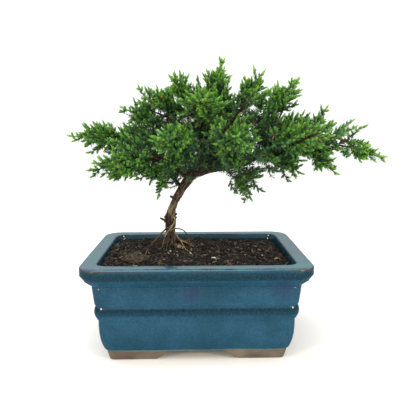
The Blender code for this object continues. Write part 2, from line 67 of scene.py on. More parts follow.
def addNode(tree, kind, links=None, ramp=None, **settings):
    made = tree.nodes.new(kind)
    for key, value in settings.items():
        setattr(made, key, value)
    for socket, source in (links or {}).items():
        if isinstance(source, bpy.types.NodeSocket):
            tree.links.new(source, made.inputs[socket])
        else:
            made.inputs[socket].default_value = source
    if ramp:
        stops = made.color_ramp.elements
        while len(stops) < len(ramp):
            stops.new(0.5)
        for stop, (place, colour) in zip(stops, ramp):
            stop.position = place
            stop.color = linear(colour)
    return made


def join(source, socket):
    socket.id_data.links.new(source, socket)


def newMaterial(name, roughness, ior=1.5):
    material = bpy.data.materials.new(name)
    material.use_nodes = True
    add = partial(addNode, material.node_tree)
    shader = material.node_tree.nodes["Principled BSDF"]
    shader.inputs["Roughness"].default_value = roughness
    shader.inputs["IOR"].default_value = ior
    place = add("ShaderNodeTexCoord").outputs["Object"]
    return material, add, shader, place


def meshPiece(name, points, faces, material, slot, replaced=(), smooth=True):
    mesh = bpy.data.meshes.new(name)
    mesh.from_pydata([tuple(p) for p in points], [], [tuple(f) for f in faces])
    mesh.update()
    return registerPiece(name, mesh, material, replaced, smooth)


def registerPiece(name, mesh, material, replaced=(), smooth=True):
    piece = bpy.data.objects.new(name, mesh)
    bpy.context.scene.collection.objects.link(piece)
    mesh.materials.append(material)
    mesh.polygons.foreach_set("use_smooth", [smooth] * len(mesh.polygons))
    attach(piece, "root")
    if replaced:
        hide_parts(*replaced)
    return piece


def tubeFaces(rings, sides):
    # quads between rings of points that follow each other, and a cap at each end
    faces = []
    for start in range(0, (rings - 1) * sides, sides):
        for k in range(sides):
            n = (k + 1) % sides
            faces.append((start + k, start + n, start + sides + n, start + sides + k))
    return [*faces, tuple(reversed(range(sides))), tuple(range((rings - 1) * sides, rings * sides))]


def smoothRoute(points, step):
    rows = np.array(points, dtype=float)
    padded = np.vstack([2 * rows[0] - rows[1], rows, 2 * rows[-1] - rows[-2]])
    fine = []
    for i in range(len(rows) - 1):
        a, b, c, d = padded[i:i + 4]
        for t in np.linspace(0, 1, 12, endpoint=False):
            fine.append(0.5 * (2 * b + (c - a) * t + (2 * a - 5 * b + 4 * c - d) * t ** 2
                               + (3 * b - a - 3 * c + d) * t ** 3))
    fine = np.array([*fine, rows[-1]])
    run = np.concatenate([[0], np.cumsum(np.linalg.norm(np.diff(fine[:, :3], axis=0), axis=1))])
    places = np.linspace(0, run[-1], max(3, round(run[-1] / step) + 1))
    return np.array([[np.interp(s, run, column) for column in fine.T] for s in places])


def bezier(a, b, c, count):
    t = np.linspace(0, 1, count)[:, None]
    return (1 - t) ** 2 * a + 2 * t * (1 - t) * b + t ** 2 * c


def unit(vectors):
    return vectors / np.maximum(np.linalg.norm(vectors, axis=-1, keepdims=True), 1e-12)


# stage: pale floor, soft light from above, camera a little above the rim

stageLook = {
    "floorColour": "#f6f6f5", "floorInGlaze": "#5e656b", "floorGlow": 0.07,
    "floorSize": 8.0,
    # height of a direction (0 level, 1 straight up) and the sky's colour there
    "sky": ((0.0, "#2b3036"), (0.12, "#4a5157"), (0.38, "#bfc6c3"), (0.62, "#ffffff")),
    "skyBehind": 0.2, "skyStrength": 1.16,
    "cameraPlace": (-1.95 * mm, -387.4 * mm, 159.7 * mm),   # from the middle of the pot
    "cameraDown": 8.625,
    "cameraRight": 1.59,
    "lens": 44.1,
    # name, place in metres from the pot, size in metres, watts, colour
    "lamps": (("overhead", (-0.2, -0.3, 1.2), 0.9, 7.0, "#ffffff"),
              ("frontRight", (0.75, -0.8, 0.8), 0.4, 2.2, "#fffaf0"),
              ("sparkLeft", (-0.62, -0.66, 0.36), 0.09, 2.4, "#ffe0b0"),
              ("sparkRight", (0.66, -0.62, 0.34), 0.09, 2.4, "#ffe0b0")),
}


def makeStage():
    scene = bpy.context.scene
    scene.view_settings.view_transform = "Standard"
    camera = bpy.data.objects.new("camera", bpy.data.cameras.new("camera"))
    camera.data.lens = stageLook["lens"]
    camera.data.clip_start = 0.01
    camera.location = Vector(potMiddle) + Vector(stageLook["cameraPlace"])
    camera.rotation_euler = (math.radians(90 - stageLook["cameraDown"]), 0,
                             -math.radians(stageLook["cameraRight"]))
    scene.collection.objects.link(camera)
    scene.camera = camera

    world = bpy.data.worlds.new("studio")
    scene.world = world
    world.use_nodes = True
    add = partial(addNode, world.node_tree)
    background = world.node_tree.nodes["Background"]
    direction = add("ShaderNodeTexCoord").outputs["Generated"]
    part = add("ShaderNodeSeparateXYZ", {"Vector": direction}).outputs
    behind = add("ShaderNodeMath", {0: part["Y"], 1: 0.0}, operation="MAXIMUM")
    level = add("ShaderNodeMath", {0: behind.outputs[0], 1: stageLook["skyBehind"], 2: part["Z"]},
                operation="MULTIPLY_ADD")
    sky = add("ShaderNodeValToRGB", {"Fac": level.outputs[0]}, ramp=stageLook["sky"])
    seen = add("ShaderNodeLightPath").outputs["Is Camera Ray"]
    colour = add("ShaderNodeMix", {"Factor": seen, "A": sky.outputs["Color"], "B": linear("#ffffff")},
                 data_type="RGBA")
    join(colour.outputs["Result"], background.inputs["Color"])
    background.inputs["Strength"].default_value = stageLook["skyStrength"]

    for name, place, size, watts, lampColour in stageLook["lamps"]:
        lamp = bpy.data.lights.new(name, "AREA")
        lamp.size = size
        lamp.energy = watts
        lamp.color = linear(lampColour)[:3]
        held = bpy.data.objects.new(name, lamp)
        held.location = Vector(potMiddle) + Vector(place)
        aim = Vector(potMiddle) + Vector((0, 0, 0.1)) - held.location
        held.rotation_euler = aim.to_track_quat("-Z", "Y").to_euler()
        scene.collection.objects.link(held)

    floorMaterial, add, shader, _ = newMaterial("mattePaper", 0.9)
    # glossy glaze sees a dim floor, as it would in a dark studio with a lit sweep
    glossy = add("ShaderNodeLightPath").outputs["Is Glossy Ray"]
    paper = add("ShaderNodeMix", {"Factor": glossy, "A": linear(stageLook["floorColour"]),
                                  "B": linear(stageLook["floorInGlaze"])}, data_type="RGBA")
    join(paper.outputs["Result"], shader.inputs["Base Color"])
    shader.inputs["Emission Color"].default_value = linear("#ffffff")
    shader.inputs["Emission Strength"].default_value = stageLook["floorGlow"]
    bpy.ops.mesh.primitive_plane_add(size=stageLook["floorSize"], location=(0, 0, 0))
    floor = bpy.context.object
    floor.name = "floor"
    floor.data.materials.append(floorMaterial)


# glazed pot: a loft of rounded rectangles, the feet cut out of its skirt

potShape = {
    "rimWidth": 10.4, "rimLip": 0.8, "rimDepth": 8.6, "rimRound": 1.8, "rimCorner": 14, "bodyCorner": 11,
    "rimFlare": 0.9,
    "coveDepth": 6, "neckInset": 6.7, "neckTaper": 1.5,
    "beltGroove": 0.4, "beltDrop": 33.1, "beltWidth": 11.5, "beltBulge": 2.5,
    "bodyInset": 10.4, "bodyTaper": 4.3, "wall": 5, "floor": 5, "floorFillet": 6,
    "footHeight": 7, "footInset": 0.5, "footDraft": 1.8, "footThickness": 13,
    "footLength": 43, "footWidth": 32, "footSlant": 8, "footRound": 3.6,
    "holeDiameter": 12, "holeSpacing": 62,
    "waver": 0.3,         # how far a pressed and fired wall strays from true
    "ringStep": 0.9, "cornerSteps": 12, "sideStep": 5,
}
# marks of the firing: place from the pot's middle and reach, in mm
glazeMarks = {
    "glazeViolet": (((-2, -57, 53), 6.5), ((-4, -56, 49), 5), ((58, -57, 57), 7), ((-70, -45, 45), 8)),
}


def beltFoot():
    return potSize[2] / mm - potShape["beltDrop"] - 0.6 * potShape["beltWidth"]


def rimFootHeight():
    return potSize[2] / mm - potShape["rimDepth"]


def bodyInset(height):
    share = (height - potShape["footHeight"]) / (beltFoot() - potShape["footHeight"])
    return potShape["bodyInset"] + potShape["bodyTaper"] * (1 - share) ** 3


def potOutline():
    # heights and insets in mm: up the outside to the rim, then down the inside to the floor
    s = potShape
    top = potSize[2] / mm
    footTop = s["bodyInset"] + s["bodyTaper"] + s["footInset"]
    beltHead = beltFoot() + s["beltWidth"]
    rimFoot = top - s["rimDepth"]
    neckHead = rimFoot - s["coveDepth"]
    outside = [(0, footTop + s["footDraft"] + 0.5), (0.6, footTop + s["footDraft"])]
    outside += [(s["footHeight"] * share, footTop + s["footDraft"] * (1 - share)) for share in (0.4, 0.75, 1)]
    for share in np.linspace(0, 1, 16):
        height = s["footHeight"] + 0.15 + share * (beltFoot() - s["footHeight"] - 0.15)
        roll = 0.7 * math.exp(-((height - s["footHeight"]) / 0.7) ** 2)   # the glaze ends in a soft roll
        outside.append((height, bodyInset(height) + roll))
    for share in np.linspace(0.1, 0.95, 10):
        bulge = s["beltBulge"] * math.sin(math.pi / 2 * share / 0.6)
        outside.append((beltFoot() + s["beltWidth"] * share, s["bodyInset"] - bulge))
    outside += [(beltHead, s["neckInset"] + s["neckTaper"] + s["beltGroove"]),
                (beltHead + 2 * s["beltGroove"], s["neckInset"] + s["neckTaper"])]
    for share in (0.25, 0.5, 0.75, 0.92):
        outside.append((beltHead + share * (neckHead - beltHead),
                        s["neckInset"] + s["neckTaper"] * (1 - share)))
    outside += [(neckHead - 0.35, s["neckInset"] + 0.5), (neckHead + 0.35, s["neckInset"] + 0.35)]
    for share in (0.2, 0.4, 0.6, 0.8, 0.92):
        outside.append((neckHead + s["coveDepth"] * share, s["neckInset"] * (1 - share) ** 0.9))
    for turn in np.linspace(0, 1, 7):
        angle = math.pi / 2 * turn
        outside.append((rimFoot + 0.25 * s["rimDepth"] * math.sin(angle),
                        0.45 - (0.45 + s["rimFlare"]) * math.sin(angle)))
    outside.append((top - 2 * s["rimRound"], -s["rimFlare"]))
    for turn in np.linspace(0, 1, 9):
        angle = math.pi / 2 * turn
        outside.append((top - s["rimRound"] * (1 - math.sin(angle)),
                        (s["rimRound"] + s["rimFlare"]) * (1 - math.cos(angle)) - s["rimFlare"]))
    across = [(top, 0.35 * s["rimWidth"]), (top, 0.6 * s["rimWidth"]), (top - 0.1, 0.76 * s["rimWidth"])]
    for turn in np.linspace(0.25, 1, 6):
        angle = math.pi / 2 * turn
        across.append((top - s["rimRound"] * (1 - math.cos(angle)),
                       s["rimWidth"] - s["rimRound"] * (1 - math.sin(angle))))
    across += [(top - 0.5 * s["rimDepth"], s["rimWidth"] + s["rimLip"]),
               (neckHead, s["neckInset"] + s["wall"]), (beltFoot(), s["bodyInset"] + s["wall"])]
    floor = s["footHeight"] + s["floor"]
    for turn in np.linspace(0, 1, 6):
        angle = math.pi / 2 * turn
        height = floor + s["floorFillet"] * (1 - math.sin(angle))
        across.append((height, bodyInset(height) + s["wall"] + s["floorFillet"] * (1 - math.cos(angle))))
    return outside, across


def densified(profile, step):
    fine = [profile[0]]
    for (h0, i0), (h1, i1) in zip(profile, profile[1:]):
        count = max(1, round(math.hypot(h1 - h0, i1 - i0) / step))
        fine += [(h0 + (h1 - h0) * k / count, i0 + (i1 - i0) * k / count) for k in range(1, count + 1)]
    return fine


def potRing(height, inset, cornerSteps, sideStep):
    halfX, halfY = potSize[0] / 2 / mm - inset, potSize[1] / 2 / mm - inset
    onRim = inset < potShape["rimRound"] or height > rimFootHeight()
    outer = potShape["rimCorner"] if onRim else potShape["bodyCorner"]
    radius = max(outer - 0.45 * inset, 3)
    countX = max(2, round(2 * (potSize[0] / 2 / mm - potShape["rimCorner"]) / sideStep))
    countY = max(2, round(2 * (potSize[1] / 2 / mm - potShape["rimCorner"]) / sideStep))
    ring = []
    for quarter, (signX, signY) in enumerate(((1, 1), (-1, 1), (-1, -1), (1, -1))):
        centre = np.array([signX * (halfX - radius), signY * (halfY - radius)])
        for step in range(cornerSteps + 1):
            angle = math.pi / 2 * (quarter + step / cornerSteps)
            ring.append(centre + radius * np.array([math.cos(angle), math.sin(angle)]))
        last = ring[-1]
        signX, signY = ((-1, 1), (-1, -1), (1, -1), (1, 1))[quarter]
        after = np.array([signX * (halfX - radius), signY * (halfY - radius)])
        after = after + radius * np.array([math.cos(math.pi / 2 * (quarter + 1)),
                                           math.sin(math.pi / 2 * (quarter + 1))])
        count = countX if quarter % 2 == 0 else countY
        ring += [last + (after - last) * k / count for k in range(1, count)]
    return [(x * mm, y * mm, height * mm) for x, y in ring]


def loftMesh(name, rings):
    mesh = bpy.data.meshes.new(name)
    mesh.from_pydata([point for ring in rings for point in ring], [], tubeFaces(len(rings), len(rings[0])))
    mesh.update()
    return mesh


def rimInset(x, y):
    # distance in from the rim's outer edge, in millimetres
    radius = potShape["rimCorner"]
    qx = abs(x) / mm - (potSize[0] / 2 / mm - radius)
    qy = abs(y) / mm - (potSize[1] / 2 / mm - radius)
    return radius - (math.hypot(max(qx, 0), max(qy, 0)) + min(max(qx, qy), 0))


def footWay(name, gap, reach, across):
    # the way between two feet, its upper corners rounded
    s = potShape
    top = s["footHeight"]
    half, slant, corner = gap / 2, s["footSlant"], s["footRound"]
    outline = [(-half - slant, -1), (-half - slant, 0.4), (-half - 0.35 * slant, top - corner),
               (-half + 0.1 * slant, top - 0.4), (-half + 0.35 * slant, top)]
    outline += [(-x, z) for x, z in reversed(outline)]
    bm = bmesh.new()
    ends = [[bm.verts.new((x * mm, y * mm, z * mm)) for x, z in outline] for y in (-reach, reach)]
    bm.faces.new(ends[0])
    bm.faces.new(list(reversed(ends[1])))
    for i in range(len(outline)):
        j = (i + 1) % len(outline)
        bm.faces.new((ends[0][j], ends[0][i], ends[1][i], ends[1][j]))
    bmesh.ops.recalc_face_normals(bm, faces=bm.faces[:])
    if across:
        bmesh.ops.rotate(bm, verts=bm.verts[:], cent=(0, 0, 0), matrix=Matrix.Rotation(math.pi / 2, 3, "Z"))
    mesh = bpy.data.meshes.new(name)
    bm.to_mesh(mesh)
    bm.free()
    return mesh


def cutAway(mesh, cutterMeshes):
    body = bpy.data.objects.new("cutting", mesh)
    bpy.context.scene.collection.objects.link(body)
    cutters = []
    for cutterMesh in cutterMeshes:
        cutter = bpy.data.objects.new("cutter", cutterMesh)
        bpy.context.scene.collection.objects.link(cutter)
        cutters.append(cutter)
        step = body.modifiers.new("cut", "BOOLEAN")
        step.operation = "DIFFERENCE"
        step.object = cutter
    graph = bpy.context.evaluated_depsgraph_get()
    result = bpy.data.meshes.new_from_object(body.evaluated_get(graph))
    for item in (body, *cutters):
        bpy.data.objects.remove(item)
    return result


def glazedStoneware():
    # dipped and fired stoneware: deep teal where the glaze is thick, hazy blue on the flats,
    # brown clay showing through on the sharp edges, bare grey clay on the feet;
    # the deep teal is also painted dark reflection on the belt and rim face, and painted shade on the inside
    # wall
    material, add, shader, place = newMaterial("glazedStoneware", 0.16, 1.52)
    cloud = add("ShaderNodeTexNoise", {"Vector": place, "Scale": perMetre(24), "Detail": 3.0,
                                       "Roughness": 0.6})
    speckle = add("ShaderNodeTexNoise", {"Vector": place, "Scale": perMetre(1.3), "Detail": 3.0,
                                         "Roughness": 0.7})
    marks = {name: add("ShaderNodeAttribute", attribute_name=name).outputs["Fac"]
             for name in ("glazePoolAndShade", "glazeBreak", *glazeMarks)}
    height = add("ShaderNodeSeparateXYZ", {"Vector": place}).outputs["Z"]

    mixed = add("ShaderNodeMath", {0: cloud.outputs["Fac"], 1: speckle.outputs["Fac"]}, operation="ADD")
    halved = add("ShaderNodeMath", {0: mixed.outputs[0], 1: 0.5}, operation="MULTIPLY")
    base = add("ShaderNodeValToRGB", {"Fac": halved.outputs[0]},
               ramp=((0.34, "#134054"), (0.46, "#1b4a62"), (0.54, "#21506b"), (0.66, "#2b5d7c")))
    deepAndShaded = add("ShaderNodeValToRGB", {"Fac": speckle.outputs["Fac"]},
               ramp=((0.34, "#072838"), (0.5, "#0b3345"), (0.66, "#124253")))
    # deep colour of thick glaze, also used as painted dark reflection on the belt and rim face and as painted
    # shade on the inside wall
    pooledAndShaded = add("ShaderNodeMix", {"Factor": marks["glazePoolAndShade"], "A": base.outputs["Color"],
                                   "B": deepAndShaded.outputs["Color"]}, data_type="RGBA")
    bruise = add("ShaderNodeMath", {0: marks["glazeViolet"], 1: cloud.outputs["Fac"]}, operation="MULTIPLY")
    bruised = add("ShaderNodeMix", {"Factor": bruise.outputs[0], "A": pooledAndShaded.outputs["Result"],
                                    "B": linear("#2c2a55")}, data_type="RGBA")
    ragged = add("ShaderNodeMath", {0: speckle.outputs["Fac"], 1: 0.7, 2: marks["glazeBreak"]},
                 operation="MULTIPLY_ADD")
    bare = add("ShaderNodeMapRange", {"Value": ragged.outputs[0], "From Min": 0.72, "From Max": 1.25,
                                      "To Max": 0.85})
    brown = add("ShaderNodeMix", {"Factor": bare.outputs[0], "A": bruised.outputs["Result"],
                                  "B": linear("#443a36")}, data_type="RGBA")
    # the glaze runs thin and greener on the flat top of the rim, in patches
    facing = add("ShaderNodeSeparateXYZ", {"Vector": add("ShaderNodeNewGeometry").outputs["Normal"]})
    upward = add("ShaderNodeMapRange", {"Value": facing.outputs["Z"], "From Min": 0.6, "From Max": 0.95})
    mottle = add("ShaderNodeTexNoise",
                 {"Vector": place, "Scale": perMetre(11), "Detail": 3.0, "Roughness": 0.6})
    patches = add("ShaderNodeMapRange", {"Value": mottle.outputs["Fac"], "From Min": 0.4, "From Max": 0.62})
    thin = add("ShaderNodeMath", {0: upward.outputs[0], 1: patches.outputs[0]}, operation="MULTIPLY")
    green = add("ShaderNodeMix", {"Factor": thin.outputs[0], "A": brown.outputs["Result"],
                                  "B": linear("#3a6c70")}, data_type="RGBA")
    waver = add("ShaderNodeTexNoise", {"Vector": place, "Scale": perMetre(14), "Detail": 2.0})
    lineHeight = add("ShaderNodeMath", {0: waver.outputs["Fac"], 1: -2.0 * mm, 2: height},
                     operation="MULTIPLY_ADD")
    glazeEnd = potShape["footHeight"] * mm
    glazed = add("ShaderNodeMapRange", {"Value": lineHeight.outputs[0], "From Min": glazeEnd - 0.95 * mm,
                                        "From Max": glazeEnd - 0.7 * mm})
    pale = add("ShaderNodeMapRange", {"Value": lineHeight.outputs[0], "From Min": glazeEnd + 0.6 * mm,
                                      "From Max": glazeEnd - 0.5 * mm, "To Min": 0.0, "To Max": 0.7})
    edged = add("ShaderNodeMix", {"Factor": pale.outputs[0], "A": green.outputs["Result"],
                                  "B": linear("#6a9c98")}, data_type="RGBA")
    clayTone = add("ShaderNodeValToRGB", {"Fac": cloud.outputs["Fac"]},
                   ramp=((0.34, "#5f514b"), (0.5, "#6e655b"), (0.66, "#7f7568")))
    colour = add("ShaderNodeMix", {"Factor": glazed.outputs[0], "A": clayTone.outputs["Color"],
                                   "B": edged.outputs["Result"]}, data_type="RGBA")
    join(colour.outputs["Result"], shader.inputs["Base Color"])

    gloss = add("ShaderNodeMapRange", {"Value": speckle.outputs["Fac"], "From Min": 0.3, "From Max": 0.7,
                                       "To Min": 0.10, "To Max": 0.22})
    softer = add("ShaderNodeMath", {0: thin.outputs[0], 1: 0.25, 2: gloss.outputs[0]},
                 operation="MULTIPLY_ADD")
    dull = add("ShaderNodeMix", {"Factor": glazed.outputs[0], "A": 0.85, "B": softer.outputs[0]})
    join(dull.outputs["Result"], shader.inputs["Roughness"])
    peel = add("ShaderNodeTexNoise", {"Vector": place, "Scale": perMetre(4), "Detail": 3.0,
                                      "Roughness": 0.6})
    bump = add("ShaderNodeBump", {"Height": peel.outputs["Fac"], "Strength": 0.3, "Distance": 0.3 * mm})
    join(bump.outputs["Normal"], shader.inputs["Normal"])
    return material


def makePot():
    s = potShape
    outside, across = potOutline()
    rings = [potRing(h, i, s["cornerSteps"], s["sideStep"]) for h,
             i in densified(outside + across, s["ringStep"])]
    mesh = loftMesh("potBody", rings)
    foot = s["bodyInset"] + s["bodyTaper"] + s["footInset"]
    footX, footY = potSize[0] / 2 / mm - foot, potSize[1] / 2 / mm - foot
    skirt = s["footDraft"] + s["footThickness"]
    recess = loftMesh("recess", [potRing(z, foot + skirt, 6, 40) for z in (-1, s["footHeight"])])
    ways = [footWay("frontWay", 2 * (footX - s["footLength"]), potSize[1] / mm, False),
            footWay("sideWay", 2 * (footY - s["footWidth"]), potSize[0] / mm, True)]
    holes = []
    for side in (-1, 1):
        bm = bmesh.new()
        bmesh.ops.create_cone(bm, cap_ends=True, segments=40, radius1=s["holeDiameter"] / 2 * mm,
                              radius2=s["holeDiameter"] / 2 * mm, depth=40 * mm,
                              matrix=Matrix.Translation((side * s["holeSpacing"] / 2 * mm, 0, 0)))
        hole = bpy.data.meshes.new("hole")
        bm.to_mesh(hole)
        bm.free()
        holes.append(hole)
    mesh = cutAway(mesh, [recess, *ways, *holes])

    top = potSize[2] / mm
    belt = beltFoot() + 0.68 * s["beltWidth"]
    # the pool value marks thick glaze and is also painted dark: painted reflection on the belt and rim-face
    # bands, painted shade on the whole inside wall
    poolAndShade, thin = [], []
    marks = {name: [] for name in glazeMarks}
    for vertex in mesh.vertices:
        x, y, z = vertex.co
        inset, h = rimInset(x, y), z / mm
        sway = noise.noise(vertex.co * 28)
        fade = 5 if h > belt else 1.6
        fromBelt = abs(h - belt - 0.4 * sway) - 2.7 - 0.5 * sway
        onBelt = 1 / (1 + math.exp(fromBelt * fade)) if inset < 11 else 0
        onRim = 1 / (1 + math.exp((abs(h - top + 5.4) - 2.9) * 3)) if inset < 2 else 0
        underRim = h > beltFoot() + s["beltWidth"]
        innerFace = s["rimWidth"] + 0.1 if underRim else bodyInset(min(h, beltFoot())) + 2.5
        inside = 0.9 if inset > innerFace and h > s["footHeight"] else 0
        poolAndShade.append(max(onBelt, onRim, inside))
        outerEdge = math.exp(-((h - top + 1.5) / 1.0) ** 2) * math.exp(-(max(inset - 1, 0) / 0.6) ** 2)
        innerEdge = math.exp(-((h - top + 0.7) / 0.8) ** 2 - ((inset - 0.96 * s["rimWidth"]) / 0.5) ** 2)
        sideways = abs(x) / potSize[0] * 2
        endways = abs(y) / potSize[1] * 2
        corner = min(1.0, sideways ** 12 + endways ** 12 * sideways ** 6)
        thin.append(max(outerEdge * (0.62 + 0.45 * corner + 0.4 * sway), 0.75 * innerEdge))
        for name, spots in glazeMarks.items():
            marks[name].append(max(math.exp(-((vertex.co / mm - Vector(spot)).length / reach) ** 2)
                                   for spot, reach in spots))
        away = 1 if h > 1 else h   # feet stay flat on the ground
        vertex.co += Vector((noise.noise(vertex.co * 22), noise.noise(vertex.co * 22 + Vector((7, 3, 1))),
                             0)) \
            * s["waver"] * mm * away
    for name, values in (("glazePoolAndShade", poolAndShade), ("glazeBreak", thin), *marks.items()):
        mesh.attributes.new(name, "FLOAT", "POINT").data.foreach_set("value", values)
    mesh.transform(Matrix.Translation(potMiddle))
    mesh.materials.clear()
    registerPiece("glazedPot", mesh, glazedStoneware(), ("pot",))
    mesh.set_sharp_from_angle(angle=math.radians(38))


# potting soil: a dark bed with crumbs, fibres, perlite and scraps of wood on it

soilShape = {
    "drop": 5.5, "mound": 7.6, "moundReach": 46.0, "backSlope": 1.6, "waves": 1.2, "waveScale": 45,
    "gridStep": 0.8, "clods": 2.0, "grit": 1.05,
    "crumbs": 4200, "crumbSize": (0.5, 3.0),
    "fibres": 1000, "fibreLength": (4, 18), "fibreWidth": (0.16, 0.42),
    "straws": 90, "perlite": 60, "perliteSize": (0.7, 1.9),
    # where perlite lies thickest, in mm from the collar, with its spread
    "perliteHeaps": ((-1, -17, 2.4), (6, -24, 3.4), (34, -29, 2.2), (16, -18, 3.0)),
}
collar = potMiddle + np.array([-20.2, -1.0, potSize[2] / mm - soilShape["drop"] + soilShape["mound"]]) * mm


def soilHeight(x, y):
    # x and y in metres from the pot's middle, as the solid model heaps it
    s = soilShape
    trunkX, trunkY = collar[0] - potMiddle[0], collar[1] - potMiddle[1]
    away = math.hypot(x - trunkX, y - trunkY) / (s["moundReach"] * mm)
    waves = noise.noise(Vector((x, y, 0)) * s["waveScale"]) * s["waves"] * mm
    sunk = s["backSlope"] * mm * min(max((y - trunkY) / (potSize[1] / 2), 0), 1)
    return potSize[2] - s["drop"] * mm + s["mound"] * mm * math.exp(-away ** 2) + waves - sunk


def roughSoil(x, y):
    s = soilShape
    spot = Vector((x, y, 0))
    clods = noise.noise(spot * perMetre(7)) * s["clods"] + abs(noise.noise(spot * perMetre(3.1))) * 0.8
    grit = noise.noise(spot * perMetre(1.4) + Vector((5, 5, 5))) * s["grit"]
    return soilHeight(x, y) + (clods + grit - 0.3) * mm


def pottingSoil():
    # moist peat and bark fines: very dark brown, matt, with lighter dry specks
    material, add, shader, place = newMaterial("pottingSoil", 0.95, 1.4)
    grain = add("ShaderNodeTexNoise",
                {"Vector": place, "Scale": perMetre(1.6), "Detail": 5.0, "Roughness": 0.7})
    patch = add("ShaderNodeTexNoise", {"Vector": place, "Scale": perMetre(18), "Detail": 2.0})
    blend = add("ShaderNodeMath", {0: patch.outputs["Fac"], 1: 0.35, 2: grain.outputs["Fac"]},
                operation="MULTIPLY_ADD")
    colour = add("ShaderNodeValToRGB", {"Fac": blend.outputs[0]},
                 ramp=((0.52, "#040404"), (0.66, "#12100f"), (0.8, "#322c28"), (0.93, "#857866")))
    join(colour.outputs["Color"], shader.inputs["Base Color"])
    bump = add("ShaderNodeBump", {"Height": grain.outputs["Fac"], "Strength": 0.8, "Distance": 0.6 * mm})
    join(bump.outputs["Normal"], shader.inputs["Normal"])
    return material


def scrapMaterial(name, dark, light, size, roughness=0.85):
    material, add, shader, place = newMaterial(name, roughness, 1.45)
    tone = add("ShaderNodeTexNoise",
               {"Vector": place, "Scale": perMetre(size), "Detail": 3.0, "Roughness": 0.65})
    colour = add("ShaderNodeValToRGB", {"Fac": tone.outputs["Fac"]}, ramp=((0.35, dark), (0.65, light)))
    join(colour.outputs["Color"], shader.inputs["Base Color"])
    return material


def soilEdge():
    return potShape["rimWidth"] + potShape["rimLip"] + 0.7


def onSoil(dice, spread=1.0):
    # a random place on the bed, as x, y from the pot's middle
    halfX = (potSize[0] / 2 / mm - soilEdge() - 1.5) * spread
    halfY = (potSize[1] / 2 / mm - soilEdge() - 1.5) * spread
    while True:
        x, y = dice.uniform(-halfX, halfX) * mm, dice.uniform(-halfY, halfY) * mm
        if rimInset(x, y) > soilEdge() + 1.2:
            return x, y


def makeSoil():
    s = soilShape
    halfX, halfY = potSize[0] / 2 / mm - soilEdge(), potSize[1] / 2 / mm - soilEdge()
    corner = max(potShape["bodyCorner"] - 0.45 * soilEdge(), 3) - 0.2
    countX, countY = round(2 * halfX / s["gridStep"]), round(2 * halfY / s["gridStep"])
    points, faces = [], []
    for j in range(countY + 1):
        for i in range(countX + 1):
            x, y = halfX * (2 * i / countX - 1), halfY * (2 * j / countY - 1)
            overX, overY = abs(x) - (halfX - corner), abs(y) - (halfY - corner)
            if overX > 0 and overY > 0:   # draw the square corner in to its arc
                squeeze = max(overX, overY) / math.hypot(overX, overY)
                x = math.copysign(halfX - corner + overX * squeeze, x)
                y = math.copysign(halfY - corner + overY * squeeze, y)
            points.append((x * mm, y * mm, roughSoil(x * mm, y * mm)))
    row = countX + 1
    for j in range(countY):
        for i in range(countX):
            a = j * row + i
            faces.append((a, a + 1, a + row + 1, a + row))
    border = [i for i in range(row)] + [j * row + countX for j in range(1, countY + 1)]
    border += [countY * row + i for i in range(countX - 1, -1, -1)] + [j * row for j in range(countY - 1, 0,
                                                                                              -1)]
    _, across = potOutline()
    levels = [(h, i) for h, i in across if h < potSize[2] / mm - s["drop"] - 3]
    previous = border
    for height, inset in levels:
        shrinkX = (potSize[0] / 2 / mm - inset - 0.35) / halfX
        shrinkY = (potSize[1] / 2 / mm - inset - 0.35) / halfY
        ring = []
        for index in border:
            x, y, _ = points[index]
            ring.append(len(points))
            points.append((x * shrinkX, y * shrinkY, (height + 0.35) * mm))
        for k in range(len(ring)):
            n = (k + 1) % len(ring)
            faces.append((previous[k], ring[k], ring[n], previous[n]))
        previous = ring
    faces.append(tuple(reversed(previous)))
    points = [(x + potMiddle[0], y + potMiddle[1], z) for x, y, z in points]
    meshPiece("soilBed", points, faces, pottingSoil(), "soil", ("soil",))


def merged(parts):
    # parts are (points, faces) pairs; returns one pair
    points, faces, start = [], [], 0
    for some, sides in parts:
        points.extend(some)
        faces.extend([tuple(start + i for i in side) for side in sides])
        start += len(some)
    return points, faces


def crumbShape(dice, centre, size, flat=0.7):
    bm = bmesh.new()
    bmesh.ops.create_icosphere(bm, subdivisions=1, radius=1)
    turn = Matrix.Rotation(dice.uniform(0, 6.3), 3, "Z") @ Matrix.Rotation(dice.uniform(-0.6, 0.6), 3, "X")
    scale = Vector((size * dice.uniform(0.7, 1.3), size * dice.uniform(0.6, 1.0),
                    size * flat * dice.uniform(0.7, 1.1)))
    points = []
    for vertex in bm.verts:
        lump = dice.uniform(0.75, 1.2)
        points.append(tuple(turn @ Vector([c * k * lump for c, k in zip(vertex.co, scale)]) + Vector(centre)))
    faces = [tuple(v.index for v in face.verts) for face in bm.faces]
    bm.free()
    return points, faces


def rodShape(path, radii, sides=5):
    # a closed thin rod along the path
    path = np.array(path)
    ways = unit(np.gradient(path, axis=0))
    across = unit(np.cross(ways, np.array([0.123, 0.456, 0.881])))
    upward = np.cross(ways, across)
    points = []
    for centre, a, u, radius in zip(path, across, upward, radii):
        for k in range(sides):
            angle = 2 * math.pi * k / sides
            points.append(tuple(centre + radius * (a * math.cos(angle) + u * math.sin(angle))))
    return points, tubeFaces(len(path), sides)


def fibrePath(dice, x, y, length, lift):
    heading = dice.uniform(0, 6.3)
    bend = dice.uniform(-0.5, 0.5)
    count = 6
    path = []
    for k in range(count):
        if rimInset(x, y) < soilEdge() + 0.8:
            break
        arch = lift * math.sin(math.pi * k / (count - 1))
        path.append((x + potMiddle[0], y + potMiddle[1], roughSoil(x, y) + (0.1 + arch) * mm))
        x += length / count * mm * math.cos(heading)
        y += length / count * mm * math.sin(heading)
        heading += bend + dice.uniform(-0.25, 0.25)
    return path


